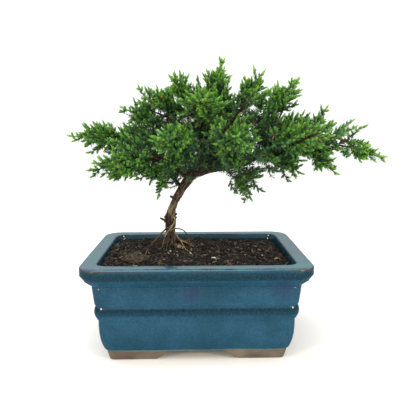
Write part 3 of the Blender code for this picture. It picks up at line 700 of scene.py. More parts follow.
def makeSoilScraps():
    s = soilShape
    dice = random.Random(11)
    crumbs = []
    for _ in range(s["crumbs"]):
        x, y = onSoil(dice)
        size = dice.uniform(*s["crumbSize"]) * dice.uniform(0.5, 1) * mm
        crumbs.append(crumbShape(dice, (x + potMiddle[0], y + potMiddle[1], roughSoil(x, y) + 0.15 * size),
                                 size))
    points, faces = merged(crumbs)
    meshPiece("soilCrumbs", points, faces, pottingSoil(), "soil", smooth=False)

    fibres, straws = [], []
    for count, store, thick, lift in ((s["fibres"], fibres, 1.0, 0.8), (s["straws"], straws, 1.9, 0.5)):
        for _ in range(count):
            x, y = onSoil(dice)
            path = fibrePath(dice, x, y, dice.uniform(*s["fibreLength"]), lift * dice.random())
            if len(path) > 2:
                width = dice.uniform(*s["fibreWidth"]) * thick * mm
                store.append(rodShape(path, [width * share for share in np.linspace(1, 0.5, len(path))]))
    meshPiece("soilFibres", *merged(fibres), scrapMaterial("peatFibre", "#1f1a17", "#7a6d5f", 6), "soil")
    meshPiece("soilStraws", *merged(straws), scrapMaterial("dryBarkSliver", "#5a4433", "#a08462", 5), "soil")

    perlite = []
    for k in range(s["perlite"]):
        if k % 3 == 0:
            x, y = onSoil(dice)
        else:
            heapX, heapY, spread = s["perliteHeaps"][k % len(s["perliteHeaps"])]
            x = collar[0] - potMiddle[0] + dice.gauss(heapX, spread) * mm
            y = collar[1] - potMiddle[1] + dice.gauss(heapY, spread) * mm
        if rimInset(x, y) > soilEdge() + 1.5:
            size = dice.uniform(*s["perliteSize"]) * dice.uniform(0.4, 1) * mm
            perlite.append(crumbShape(dice,
                                      (x + potMiddle[0], y + potMiddle[1], roughSoil(x, y) + 0.4 * size),
                                      size, 0.9))
    meshPiece("perliteGrains", *merged(perlite), scrapMaterial("expandedPerlite", "#8d8160", "#e4dfd2", 5),
              "soil",
              smooth=False)


# wood: bark over the solid model's routes, with thinner limbs and roots and a trunk drawn in at its middle

barkShape = {
    "limbSlim": 0.72,
    "trunkRadius": 4.3, "step": 0.7, "sides": 56, "ridge": 0.85, "lump": 1.1,
    "limbStep": 1.0, "limbSides": 16, "limbRidge": 0.28,
    "flakes": 260, "flakeLength": (2, 8), "flakeWidth": 0.6,
    "rootSlim": 0.6, "fineRoots": 26, "fineRootWidth": (0.3, 0.7), "fineRootReach": (7, 26),
    "binding": 5, "bindingWidth": 0.32,
}
trunkRoute = (
    (0.5, 0, -18, 1.35), (-0.3, 0, -4.5, 1.4), (-0.3, 0, 2, 1.15), (0, 0, 11, 0.8),
    (-0.2, 0, 17.5, 0.86), (-0.1, 0, 22.5, 0.9), (1.3, 0, 27.1, 0.73), (2.5, 0, 31.5, 0.6),
    (4.8, 0, 36.3, 0.58),
    (9.2, 0, 44.5, 0.68),
    (13.4, 0, 49.8, 0.76), (18.2, 0, 55.2, 0.83), (26.6, 0, 59.0, 0.85), (34.2, -1, 60.6, 0.8),
    (41.7, -2, 62.2, 0.75), (52.8, -4, 63.6, 0.72), (64.5, -7, 68.5, 0.62),
)
limbRoutes = {
    "limb_right": (((62, -6.5, 67.5), (74, -12, 72), (88, -14, 77), (105, -13, 84), (124, -7, 82),
                    (143, -4, 77)),
                   2.4, 0.7),
    "limb_apex": (((24, 0, 57), (27, -1, 75), (24, -3, 92), (30, -4, 112), (35, -4, 124)), 2.6, 0.7),
    "limb_upper": (((41, -2, 60), (39, -12, 72), (43, -16, 89), (54, -17, 104), (62, -14, 118)), 1.9, 0.6),
    "limb_left": (((14, 0, 51), (0, 0, 63), (-20, -1, 73), (-40, -2, 80), (-58, -3, 83)), 2.3, 0.6),
    "limb_left_low": (((9, 0, 46), (-4, 3, 56), (-24, 4, 62), (-42, 3, 61)), 1.7, 0.6),
    "limb_left_front": (((17, 0, 55), (5, -13, 64), (-14, -24, 70), (-32, -34, 71)), 1.8, 0.6),
    "limb_left_back": (((19, 0, 56), (5, 14, 68), (-15, 22, 79), (-34, 30, 82)), 1.8, 0.6),
    "limb_shoulder": (((25.5, -1, 78), (11, -4, 92), (-10, -6, 101), (-24, -8, 108)), 1.6, 0.5),
    "limb_front": (((33, -1, 58.5), (36, -18, 74), (40, -37, 82), (43, -51, 84)), 1.8, 0.6),
    "limb_back": (((36, -1, 59), (39, 14, 74), (41, 34, 84), (43, 48, 87)), 1.8, 0.6),
    "limb_front_left": (((22, 0, 57), (16, -18, 72), (7, -38, 81), (1, -49, 83)), 1.6, 0.5),
    "limb_back_left": (((22, 0, 57), (16, 16, 74), (7, 34, 84), (1, 45, 87)), 1.6, 0.5),
    "limb_right_front": (((76, -12, 72.5), (86, -22, 80), (99, -38, 84)), 1.5, 0.5),
    "limb_right_back": (((67, -8, 69.5), (84, 10, 82), (98, 30, 87)), 1.5, 0.5),
    "limb_right_shoulder": (((70, -10, 70.5), (77, -9, 88), (87, -10, 110)), 1.6, 0.5),
}
rootRoutes = {
    "root_left": (((0, 0, 17), (-3.5, -5, 13.7), (-9.5, -14, 8.5), (-16, -25, 1.5), (-18, -28, -6)), 1.0,
                  0.7),
    "root_wrap": (((1.5, -1, 23.5), (3.8, -5.2, 20.5), (0, -6.4, 13.5), (-4.2, -7.2, 7.5), (-6.8, -8.6, -5)),
                  0.9, 0.8),
    "root_arch": (((0, 0, 13), (5, 0, 13), (10.4, -1, 11.5), (14, -3, 5.5), (15.5, -5, -5)), 0.8, 0.7),
    "root_right": (((0, 0, 6), (8.5, 1, 2.8), (16.5, 3, -0.6), (24.5, 5, -6)), 2.3, 1.1),
    "root_back": (((0, 0, 5), (-3.5, 9, 2), (-8.5, 16, -1.6), (-12.5, 22, -6)), 2.1, 1.0),
}
# cut twigs left on the trunk: height above the collar in mm, bearing in degrees, length and radius in mm
stubs = ((18.5, 185, 5.4, 1.1), (20, 150, 3.2, 0.8), (36.5, 185, 3.2, 1.3), (36, 350, 2.6, 1.2),
         (39.5, 350, 2.6, 1.0), (22.5, 350, 3.2, 1.0), (19.5, 10, 3.0, 1.0), (43, 355, 3.4, 1.1),
         (45.5, 200, 4.5, 0.9), (49, 330, 3.0, 0.8),
         (50, 25, 4.0, 0.8), (17, 200, 2.6, 0.7), (33, 60, 2.2, 0.7), (38, 245, 2.0, 0.8),
         (54, 300, 3.4, 0.9))


def fromCollar(point):
    return collar + np.array(point, dtype=float) * mm


def routeRows(route, baseRadius, tipRadius, step):
    count = len(route) - 1
    rows = [(*fromCollar(p), (baseRadius + (tipRadius - baseRadius) * i / count) * mm) for i,
            p in enumerate(route)]
    return smoothRoute(rows, step * mm)


def juniperBark(name, dark, light, red):
    # old juniper bark: stringy grey-brown strips over red-brown inner bark
    material, add, shader, place = newMaterial(name, 0.9, 1.45)
    strings = add("ShaderNodeAttribute", attribute_name="barkRidge").outputs["Fac"]
    weathered = add("ShaderNodeAttribute", attribute_name="barkPale").outputs["Fac"]
    grain = add("ShaderNodeTexNoise",
                {"Vector": place, "Scale": perMetre(1.1), "Detail": 4.0, "Roughness": 0.7})
    mottle = add("ShaderNodeTexNoise", {"Vector": place, "Scale": perMetre(6), "Detail": 3.0})
    tone = add("ShaderNodeMath", {0: grain.outputs["Fac"], 1: 0.55, 2: strings}, operation="MULTIPLY_ADD")
    colour = add("ShaderNodeValToRGB", {"Fac": tone.outputs[0]},
                 ramp=((0.38, dark), (0.62, red), (0.92, light)))
    patch = add("ShaderNodeMath", {0: mottle.outputs["Fac"], 1: weathered}, operation="MULTIPLY")
    pale = add("ShaderNodeMapRange", {"Value": patch.outputs[0], "From Min": 0.25, "From Max": 0.6,
                                      "To Min": 0.0, "To Max": 0.85})
    mixed = add("ShaderNodeMix", {"Factor": pale.outputs[0], "A": colour.outputs["Color"],
                                  "B": linear("#978973")}, data_type="RGBA")
    join(mixed.outputs["Result"], shader.inputs["Base Color"])
    bump = add("ShaderNodeBump", {"Height": tone.outputs[0], "Strength": 0.7, "Distance": 0.35 * mm})
    join(bump.outputs["Normal"], shader.inputs["Normal"])
    return material


def barkRod(rows, sides, ridge, lump, seed, palePlaces=()):
    # returns points, faces, ridge values and pale values of a bark-covered rod
    ways = unit(np.gradient(rows[:, :3], axis=0))
    across = np.cross(ways[0], (0.3, 0.9, 0.2))
    points, ridges, pales = [], [], []
    run = np.concatenate([[0], np.cumsum(np.linalg.norm(np.diff(rows[:, :3], axis=0), axis=1))]) / mm
    for row, way, s in zip(rows, ways, run):
        across = unit(across - way * np.dot(across, way))
        upward = np.cross(way, across)
        radius = row[3] / mm
        for k in range(sides):
            angle = 2 * math.pi * k / sides
            c, n = math.cos(angle), math.sin(angle)
            strings = noise.noise(Vector((c * radius * 0.75, n * radius * 0.75, s * 0.10 + seed)))
            strings += 0.55 * noise.noise(Vector((c * radius * 1.7, n * radius * 1.7, s * 0.22 + seed + 9)))
            knots = noise.noise(Vector((c * 0.8, n * 0.8, s * 0.16 + seed + 30)))
            height = 1 - 2.2 * abs(strings)
            reach = radius + ridge * (height - 0.45) + lump * knots
            points.append(tuple(row[:3] + reach * mm * (across * c + upward * n)))
            ridges.append(max(0, min(1, 0.12 + 0.42 * height)))
            pales.append(max([math.exp(-((s - at) / wide) ** 2) for at, wide in palePlaces], default=0))
    return points, tubeFaces(len(rows), sides), ridges, pales


def barkPiece(name, rod, material, slot, replaced):
    points, faces, ridges, pales = rod
    piece = meshPiece(name, points, faces, material, slot, replaced)
    for attribute, values in (("barkRidge", ridges), ("barkPale", pales)):
        piece.data.attributes.new(attribute, "FLOAT", "POINT").data.foreach_set("value", values)
    return piece


def makeWood():
    s = barkShape
    oldBark = juniperBark("juniperBark", "#17110e", "#8a7b6a", "#453830")
    youngBark = juniperBark("youngJuniperBark", "#24140d", "#95683f", "#54301f")
    rootBark = juniperBark("rootBark", "#1a120d", "#8b745b", "#4f3828")
    dryRoot = juniperBark("peeledDryRoot", "#54493a", "#c0b497", "#998a70")
    trunkRows = smoothRoute([(*fromCollar(p[:3]), p[3] * s["trunkRadius"] * mm) for p in trunkRoute],
                            s["step"] * mm)
    # the bark is worn pale and smooth half way up, where it was once wired
    rod = barkRod(trunkRows, s["sides"], s["ridge"], s["lump"], 3.0, ((47, 8),))
    barkPiece("trunkBark", rod, oldBark, "bark", ("trunk",))
    for index, (node, (route, base, tip)) in enumerate(limbRoutes.items()):
        rows = routeRows(route, base * s["limbSlim"], tip * s["limbSlim"], s["limbStep"])
        rod = barkRod(rows, s["limbSides"], s["limbRidge"], 0.2, 40.0 + 7 * index)
        barkPiece(node.replace("limb_", "limb_bark_"), rod, youngBark, "bark", (node,))
    for index, (node, (route, base, tip)) in enumerate(rootRoutes.items()):
        slim = s["rootSlim"] if base < 1.5 else 1.0
        rows = routeRows(route, base * slim, tip * slim, 0.8)
        rod = barkRod(rows, 12, 0.16 * slim, 0.22, 200.0 + 7 * index)
        bark = dryRoot if node == "root_wrap" else rootBark
        barkPiece(node.replace("root_", "root_bark_"), rod, bark, "root_bark", (node,))

    dice = random.Random(5)
    parts, tied = [], []
    for height, bearing, length, radius in stubs:
        row = trunkRows[np.argmin(np.abs(trunkRows[:, 2] - (collar[2] + height * mm)))]
        way = np.array([math.cos(math.radians(bearing)), math.sin(math.radians(bearing)), 0.35])
        start = row[:3] + way * row[3] * 0.6
        path = [start + way * length * mm * t + np.array([0, 0, 0.6 * mm * t * t]) for t in np.linspace(0, 1,
                                                                                                        5)]
        parts.append(rodShape(path, [radius * mm * k for k in (1.2, 1.0, 0.9, 0.85, 0.6)], 8))
    for _ in range(s["flakes"]):
        index = dice.randrange(28, len(trunkRows) - 12)
        length = dice.uniform(*s["flakeLength"])
        span = max(3, round(length / s["step"]))
        angle = dice.uniform(0, 6.3)
        path = []
        for k in range(0, span, 2):
            row = trunkRows[min(index + k, len(trunkRows) - 1)]
            way = unit(trunkRows[min(index + k + 1, len(trunkRows) - 1)][:3] - row[:3] + 1e-9)
            a = unit(np.cross(way, (0.3, 0.9, 0.2)))
            u = np.cross(way, a)
            lift = row[3] + (0.15 + 0.9 * (k / span) ** 2 * dice.random()) * mm
            angle += dice.uniform(-0.08, 0.08)
            path.append(row[:3] + lift * (a * math.cos(angle) + u * math.sin(angle)))
        if len(path) > 2:
            parts.append(rodShape(path,
                                  [s["flakeWidth"] / 2 * mm * k for k in np.linspace(1, 0.4, len(path))], 4))
    for _ in range(s["fineRoots"]):
        # thin roots leave the trunk's foot and run down into the soil
        bearing, reach = dice.uniform(0, 2 * math.pi), dice.uniform(*s["fineRootReach"])
        out = np.array([math.cos(bearing), math.sin(bearing), 0])
        start = fromCollar((0, 0, dice.uniform(1, 13))) + out * 2.6 * mm
        end = start + out * reach * mm
        end[2] = roughSoil(end[0] - potMiddle[0], end[1] - potMiddle[1]) - 0.8 * mm
        knee = (start + end) / 2 + np.array([dice.gauss(0, 2), dice.gauss(0, 2), dice.uniform(-1, 4)]) * mm
        path = bezier(start, knee, end, 14)
        path += np.array([[dice.gauss(0, 0.12) * mm for _ in range(3)] for _ in range(14)])
        store = tied if dice.random() < 0.14 else parts
        store.append(rodShape(path, dice.uniform(*s["fineRootWidth"]) / 2 * mm * np.linspace(1.2, 0.7, 14),
                              6))
    for k in range(s["binding"]):
        # old tying fibres wound round the trunk above the roots
        low, turns, spin = dice.uniform(8, 15), dice.uniform(0.3, 0.6), dice.uniform(3.0, 4.0)
        path = []
        for share in np.linspace(0, 1, 26):
            height = low + (3 + 2 * k) * share
            row = trunkRows[np.argmin(np.abs(trunkRows[:, 2] - (collar[2] + height * mm)))]
            angle = spin + turns * 2 * math.pi * share
            path.append(row[:3] + (row[3] + 0.7 * mm) * np.array([math.cos(angle), math.sin(angle),
                                                                  0.35 * share]))
        tied.append(rodShape(path, [s["bindingWidth"] / 2 * mm] * len(path), 5))
    meshPiece("tyingFibres", *merged(tied), scrapMaterial("dryRaffia", "#7d6f58", "#c2b597", 4), "bark")
    points, faces = merged(parts)
    shaggy = (points, faces, [0.36] * len(points), [0.0] * len(points))
    barkPiece("trunkStubsAndStrips", shaggy, oldBark, "bark", ())


# foliage: each spray is a leader with side twigs, and every twig ends in a cord of close needles

leafShape = {
    "targetArea": 44.0,        # square millimetres of a spray's surface for each side twig
    "inset": 5.5,              # how far under the surface a twig ends
    "shootSpacing": 2.0, "shootLength": (2.8, 5.0), "tipLength": (4.2, 6.4), "shootAngle": 46,
    "cordRadius": 0.42, "scaleSpacing": 0.75, "scaleLength": 1.9, "scaleWidth": 1.08, "scaleAngle": (24, 14),
    "awlSpacing": 1.3, "awlLength": (3.0, 5.4), "awlWidth": 0.6, "awlAngle": (30, 62),
    "leaderRadius": 0.7, "twigRadius": 0.4, "stemRadius": 0.85, "stemFrom": 1.5,
    "limbTwigSpacing": 1.5, "limbTwigLength": (7, 17), "straw": 0.03, "shade": 0.3, "bendHeight": 55,
    "halfway": 30,
    "toneRows": 64, "toneColumns": 8,
    "middle": (36, 0, 82), "reach": (122, 74, 60),   # the crown's middle and half sizes from the collar
}
sprays = {
    "spray_left_tip": ((-26, -2, 82), (-77, -4, 82)),
    "spray_left_low": ((-14, 6, 64), (-61, 2, 60)),
    "spray_left_front": ((-6, -18, 68), (-51, -44, 68)),
    "spray_left_back": ((-8, 18, 82), (-53, 40, 83)),
    "spray_left_shoulder": ((-2, -5, 92), (-36, -9, 105)),
    "spray_left_under": ((10, -10, 64), (-26, -26, 52)),
    "spray_left_hanging": ((-3, -9, 58), (-9, -14, 36)),
    "spray_upper_left": ((10, -4, 101), (-18, -8, 116)),
    "spray_crown": ((25, -4, 111), (38.6, -4, 140.6)),
    "spray_crown_left": ((16, -8, 108), (5, -12, 128)),
    "spray_crown_back": ((26, 10, 102), (30, 42, 120)),
    "spray_crown_front": ((27, -16, 100), (26, -52, 108)),
    "spray_upper_right": ((46, -6, 105), (67, -6, 132)),
    "spray_right_shoulder": ((68, -7, 98), (95, -10, 127.5)),
    "spray_right_upper": ((74, -8, 88), (103, -12, 93)),
    "spray_right_rise": ((104, -4, 84), (120, -4, 108)),
    "spray_right_limb": ((88, -4, 78), (130, -4, 78)),
    "spray_right_tip": ((127, -4, 79), (165.5, -4, 71.5)),
    "spray_right_low": ((98, -8, 72), (126, -10, 50.5)),
    "spray_right_under": ((68, -11, 70), (94, -20, 50)),
    "spray_right_front": ((70, -20, 82), (112, -50, 84)),
    "spray_right_back": ((72, 12, 84), (112, 42, 88)),
    "spray_front": ((41, -18, 82), (46, -68, 84)),
    "spray_back": ((41, 12, 84), (44, 64, 88)),
    "spray_front_left": ((16, -20, 80), (-5, -62, 82)),
    "spray_back_left": ((14, 14, 82), (-6, 56, 86)),
    "spray_under_left": ((16, -12, 70), (-6, -38, 64)),
    "spray_under_front": ((40, -12, 70), (48, -44, 64)),
    "spray_under_right": ((62, -10, 72), (78, -38, 66)),
    "spray_centre_hanging": ((47, -9, 64), (58, -12, 34)),
    "spray_heart": ((10, -4, 84), (72, -5, 96)),
}
# how far in mm the finished spray hangs or leans away from its plain solid
leans = {
    "spray_right_tip": (0, 0, -4.5), "spray_right_limb": (1, 0, -5), "spray_right_upper": (-1, 0, -4),
    "spray_left_tip": (0, 0, 1.5), "spray_crown": (3.5, 0, 0.5), "spray_upper_right": (4.5, 0, 0),
    "spray_centre_hanging": (4, 0, 0), "spray_right_under": (5, 0, 5), "spray_left_low": (-4, 0, -3),
    "spray_left_front": (-1, 0, -2.5), "spray_right_shoulder": (1.5, 0, -1.5),
    "spray_crown_left": (-3, 0, -0.5),
    "spray_right_rise": (-1, 0, -1), "spray_left_shoulder": (-1, 0, 0), "spray_right_low": (2, 0, 3),
}
# side twigs that carry foliage between the sprays: routes in mm from the collar
fillers = (((58, -8, 80), (64, -10, 94), (72, -12, 112)), ((50, -9, 62), (58, -11, 54), (68, -12, 52)),
           ((66, -18, 78), (70, -18, 92), (66, -16, 106)), ((36, -8, 98), (44, -10, 108), (52, -10, 116)),
           ((38, -8, 60), (50, -10, 62), (66, -14, 68)), ((28, -6, 108), (40, -8, 114), (46, -8, 120)),
           ((16, -6, 104), (18, -8, 112), (20, -8, 122)),
           ((60, -10, 66), (78, -14, 60), (92, -16, 58)), ((20, -6, 60), (30, -12, 66), (44, -16, 70)),
           ((40, -6, 56), (54, -9, 49), (62, -10, 45)),
           ((12, -5, 54), (4, -10, 58), (-8, -12, 56)))
# stretches of limb kept clear of needles on the side that faces the front: start, end and radius in mm
# from the collar; frontward is that side's direction
clearings = (((88, -14, 77), (106, -14, 85), 1.4), ((43, -16, 86), (54, -17, 104), 2.2))
frontward = np.array([-0.16, -0.985, 0.03])


def inClearing(points):
    hidden = np.zeros(len(points), dtype=bool)
    for start, end, radius in clearings:
        start, end = fromCollar(start), fromCollar(end)
        depth = (start[1] + end[1]) / 2
        back = (points[:, 1] - depth) / frontward[1]
        moved = points - frontward * back[:, None]
        line = end - start
        share = np.clip(((moved - start) @ line) / (line @ line), 0, 1)
        away = np.linalg.norm(moved - start - share[:, None] * line, axis=1)
        hidden |= (back > 2 * mm) & (away < radius * mm)
    return hidden


def exposure(points):
    # 0 deep in the crown or under it, 1 at its lit outside, higher on top: painted shade and painted light
    # for the needles' colour
    middle, reach = fromCollar(leafShape["middle"]), np.array(leafShape["reach"]) * mm
    local = (points - middle) / reach
    away = np.linalg.norm(local, axis=-1)
    return np.clip((away - 0.35) / 0.6, 0, 1) * 0.8 + np.clip(local[..., 2] * 0.35 + 0.1, -0.15, 0.3)


class Greenery:
    def __init__(self, dice):
        self.dice = dice
        self.scales, self.awls, self.rods = [], [], []

    def whorls(self, store, axis, ways, lengths, widths, angles, tones, curl, stand=0.0):
        # three needles round every point of the axis, each rooted this far out from it
        count = len(axis)
        spin = self.dice.uniform(0, 6.3) + np.arange(count) * 1.05
        turn = (spin[:, None] + np.arange(3) * 2 * np.pi / 3 + self.dice.normal(0, 0.18, (count, 3))).ravel()
        axis, ways = np.repeat(axis, 3, axis=0), np.repeat(ways, 3, axis=0)
        across = unit(np.cross(ways, np.array([0.21, 0.37, 0.9])))
        upward = np.cross(ways, across)
        out = across * np.cos(turn)[:, None] + upward * np.sin(turn)[:, None]
        axis = axis + out * np.repeat(np.broadcast_to(stand, count), 3)[:, None]
        angle = np.radians(np.repeat(angles, 3) + self.dice.normal(0, 5, 3 * count))[:, None]
        pointing = unit(ways * np.cos(angle) + out * np.sin(angle))
        length = np.repeat(lengths, 3) * self.dice.uniform(0.8, 1.15, 3 * count)
        width = np.repeat(widths, 3) * self.dice.uniform(0.85, 1.15, 3 * count)
        tone = np.repeat(tones, 3) + self.dice.normal(0, 0.05, 3 * count)
        bend = (ways - out * 0.4) * (length * curl)[:, None]
        side = unit(np.cross(pointing, out))
        store.append((axis, pointing, side, length, width, bend, tone))

    def shoot(self, start, way, length, tone):
        # a cord of close scales that ends in a blunt point
        s = leafShape
        count = max(5, int(length / s["scaleSpacing"]))
        t = (np.arange(count) + 0.3) / count
        lift = np.array([0, 0, 0.12]) * length * mm
        axis = start + way * (length * mm * t)[:, None] + lift * (t ** 2)[:, None]
        ways = unit(way * length * mm + 2 * lift * t[:, None])
        slim = np.clip(1.3 - 0.75 * t ** 2, 0.3, 1) * np.clip(0.55 + 1.6 * t, 0, 1)
        angles = s["scaleAngle"][0] + (s["scaleAngle"][1] - s["scaleAngle"][0]) * t
        lengths = s["scaleLength"] * (1.1 - 0.62 * t ** 2) * mm
        self.whorls(self.scales, axis, ways, lengths, s["scaleWidth"] * slim * mm, angles,
                    tone - 0.2 + 0.46 * t, 0.08,
                    s["cordRadius"] * mm * slim * (1 - 0.6 * t ** 4))

    def frond(self, twig, bare, shaded, lit, outward):
        # needles along the twig's inner part, then cords to the left and right of its outer part;
        # in the shade a twig keeps its young needles to the tip
        s, dice = leafShape, self.dice
        shady = lit < s["shade"] and dice.random() < 0.75
        span = np.linalg.norm(np.diff(twig, axis=0), axis=1).sum()
        self.rods.append((twig, np.linspace(s["twigRadius"], 0.22, len(twig)) * mm))
        self.twigNeedles(twig, bare, 1.0 if shady else 0.8, shaded + (0.12 if shady else 0))
        if shady:
            return
        way = unit(twig[-1] - twig[-3])
        self.shoot(twig[-1] - way * 1.5 * mm, unit(way + np.array([0, 0, 0.1])),
                   dice.uniform(*s["tipLength"]),
                   lit + 0.04)
        last = len(twig) - 1
        places = np.arange(max(0.3 * span, span - 15 * mm), 0.99 * span, s["shootSpacing"] * mm)
        flat = unit(outward + dice.normal(0, 0.3, 3))
        for i, place in enumerate(places):
            at = place / span * last
            low = min(int(at), last - 1)
            spot = twig[low] + (twig[low + 1] - twig[low]) * (at - low)
            way = unit(twig[low + 1] - twig[low])
            side = unit(np.cross(way, flat)) * (1 if i % 2 else -1) + 0.35 * flat + dice.normal(0, 0.22, 3)
            angle = math.radians(s["shootAngle"] + dice.normal(0, 7))
            lean = unit(way * math.cos(angle) + unit(side) * math.sin(angle) + np.array([0, 0, 0.06]))
            size = dice.uniform(*s["shootLength"]) * (1.12 - 0.4 * place / span)
            self.shoot(spot, lean, size, lit - 0.12 + 0.12 * place / span + dice.normal(0, 0.08))

    def twigNeedles(self, path, first, last, tone):
        s = leafShape
        run = np.concatenate([[0], np.cumsum(np.linalg.norm(np.diff(path, axis=0), axis=1))])
        places = np.arange(first * run[-1], last * run[-1], s["awlSpacing"] * mm)
        if len(places) < 2:
            return
        axis = np.stack([np.interp(places, run, column) for column in path.T], axis=1)
        ways = unit(np.gradient(axis, axis=0))
        lengths = self.dice.uniform(*s["awlLength"], len(axis)) * mm
        angles = self.dice.uniform(*s["awlAngle"], len(axis))
        tones = tone + 0.6 * self.dice.normal(0, 0.06, len(axis))
        tones = np.where(self.dice.random(len(axis)) < s["straw"], -1.0, tones)
        self.whorls(self.awls, axis, ways, lengths, np.full(len(axis), s["awlWidth"] * mm), angles, tones,
                    -0.05)


def hullOf(node, lean):
    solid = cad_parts[node]
    bm = bmesh.new()
    for vertex in solid.data.vertices:
        bm.verts.new(solid.matrix_world @ vertex.co + Vector(lean))
    made = bmesh.ops.convex_hull(bm, input=bm.verts[:])
    loose = [item for item in made["geom_interior"] if isinstance(item, bmesh.types.BMVert)]
    bmesh.ops.delete(bm, geom=loose, context="VERTS")
    area = sum(face.calc_area() for face in bm.faces)
    centre = np.mean([np.array(face.calc_center_median()) * face.calc_area() for face in bm.faces], axis=0)
    centre = centre * len(bm.faces) / area
    tree = BVHTree.FromBMesh(bm)
    bm.free()
    return tree, area, centre


def limbPoints():
    routes = [*(route for route, _, _ in limbRoutes.values()),
              [p for p in trunkRoute if p[2] > leafShape["bendHeight"]]]
    return np.concatenate([smoothRoute([fromCollar(p[:3]) for p in route], mm)[:, :3] for route in routes])


goldenTurn = 2.39996   # radians between one twig's bearing and the next, which spreads them evenly


def growSpray(node, base, tip, dice, limbs):
    s = leafShape
    green = Greenery(dice)
    lean = np.array(leans.get(node, (0, 0, 0))) * mm
    solid, area, centre = hullOf(node, lean)
    base, tip = fromCollar(base) + lean / 2, fromCollar(tip) + lean
    forward = unit(tip - base)
    length = np.linalg.norm(tip - base)
    end = tip - forward * s["inset"] * mm
    leader = bezier(base, (base + end) / 2 + np.array([0, 0, 0.05 * length]), end, 16)
    green.rods.append((leader, np.linspace(s["leaderRadius"], 0.4, 16) * mm))
    green.frond(leader, 0.05, 0.1 + 0.3 * exposure(leader).mean(), 0.3 + 0.45 * float(exposure(leader[-1])),
                np.array([0, -0.7, 0.7]))
    count = max(9, round(area / mm ** 2 / s["targetArea"]))
    for k in range(count):
        z = 1 - 2 * (k + 0.5) / count
        spin = k * goldenTurn + dice.normal(0, 0.35)
        ray = np.array([math.sqrt(1 - z * z) * math.cos(spin), math.sqrt(1 - z * z) * math.sin(spin), z])
        hit, _, _, reach = solid.ray_cast(Vector(centre), Vector(ray))
        if hit is None:
            continue
        target = centre + ray * max(0.3 * reach, reach - s["inset"] * mm * dice.uniform(0.2, 2.2))
        nearest = np.argmin(np.linalg.norm(leader - target, axis=1))
        away = np.linalg.norm(leader[nearest] - target)
        root = int(np.clip(nearest - 0.8 * away / length * 15, 0, 14))
        span = np.linalg.norm(target - leader[root])
        if span < 2.5 * mm:
            continue
        # twigs sweep forward and up rather than straight out
        ending = unit(0.45 * forward + 0.6 * ray + np.array([0, 0, 0.25]) + dice.normal(0, 0.25, 3))
        control = (leader[root] + target) / 2 - ending * 0.22 * span + forward * 0.12 * span
        twig = bezier(leader[root], control, target, 10)
        light = float(exposure(target))
        green.frond(twig, 0.05, 0.08 + 0.28 * light + dice.normal(0, 0.03),
                    0.2 + 0.52 * light + dice.normal(0, 0.07),
                    unit(0.6 * ray + np.array([0, 0, 0.8])))
    # a stem joins the spray to the nearest limb, with leafy twigs along it
    joint = limbs[np.argmin(np.linalg.norm(limbs - base, axis=1))]
    gap = np.linalg.norm(base - joint)
    if gap > s["stemFrom"] * mm:
        sag = np.array([0, 0, -0.12 * gap])
        stem = bezier(joint, (joint + base) / 2 + sag, base, 12)
        green.rods.append((stem, np.linspace(s["stemRadius"], s["leaderRadius"], 12) * mm))
        across = unit(np.cross(base - joint, (0, 0, 1.0)) + 1e-9)
        for place in range(1, round(gap / (s["limbTwigSpacing"] * mm))):
            share = place / (gap / (s["limbTwigSpacing"] * mm))
            spot = stem[round(share * 11)]
            side = unit(across * dice.choice((-1, 1)) + dice.normal(0, 0.5, 3) + unit(base - joint) * 0.6)
            reach = dice.uniform(*s["limbTwigLength"]) * mm * 0.8
            twig = bezier(spot, spot + side * reach * 0.6, spot + side * reach, 8)
            light = float(exposure(twig[-1]))
            green.frond(twig, 0.06, 0.06 + 0.26 * light, 0.16 + 0.5 * light, side)
    return green


def growLimbTwigs(dice):
    # short leafy twigs all along the limbs, which fill the inside of the crown, left half and right half
    # apart
    s = leafShape
    halves = [Greenery(dice), Greenery(dice)]
    routes = [route for route, _, _ in limbRoutes.values()]
    trunkBend = [place for place in trunkRoute if place[2] > s["bendHeight"]]
    for route in (*routes, trunkBend, *fillers):
        rows = smoothRoute([fromCollar(p[:3]) for p in route], s["limbTwigSpacing"] * mm)[:, :3]
        ways = unit(np.gradient(rows, axis=0))
        for spot, way in list(zip(rows, ways))[2:-4]:
            spin = dice.normal(0, 1, 3) + np.array([0, -0.3, 1.2 if route is trunkBend else 0.4])
            side = unit(np.cross(np.cross(way, spin), way))
            reach = dice.uniform(*s["limbTwigLength"]) * mm
            end = spot + (side * 0.85 + way * 0.5) * reach
            twig = bezier(spot, spot + side * reach * 0.6, end, 8)
            light = float(exposure(end))
            green = halves[int(end[0] > collar[0] + s["halfway"] * mm)]
            green.frond(twig, 0.08, 0.04 + 0.25 * light, 0.14 + 0.5 * light + dice.normal(0, 0.06), side)
    return halves


# corner points of one needle as shares of its length, half width and half width, with their place in a
# colour cell
scaleNeedle = {
    "points": ((0, -1, 0), (0, 1, 0), (0, 0, 0.8), (1, 0, 0)),
    "cell": ((0.04, 0.12), (0.04, 0.88), (0.14, 0.5), (0.96, 0.5)),
    "faces": ((0, 1, 3), (1, 2, 3), (2, 0, 3), (0, 2, 1)),
}
awlNeedle = {
    "points": ((0, -0.55, 0), (0, 0.55, 0), (0, 0, 0.45), (0.45, -1, 0), (0.45, 1, 0), (0.45, 0, 0.8),
               (1, 0, 0)),
    "cell": ((0.04, 0.2), (0.04, 0.8), (0.1, 0.5), (0.5, 0.08), (0.5, 0.92), (0.54, 0.5), (0.96, 0.5)),
    "faces": ((0, 1, 4), (0, 4, 3), (1, 2, 5), (1, 5, 4), (2, 0, 3), (2, 3, 5), (3, 4, 6), (4, 5, 6),
              (5, 3, 6),
              (0, 2, 1)),
}


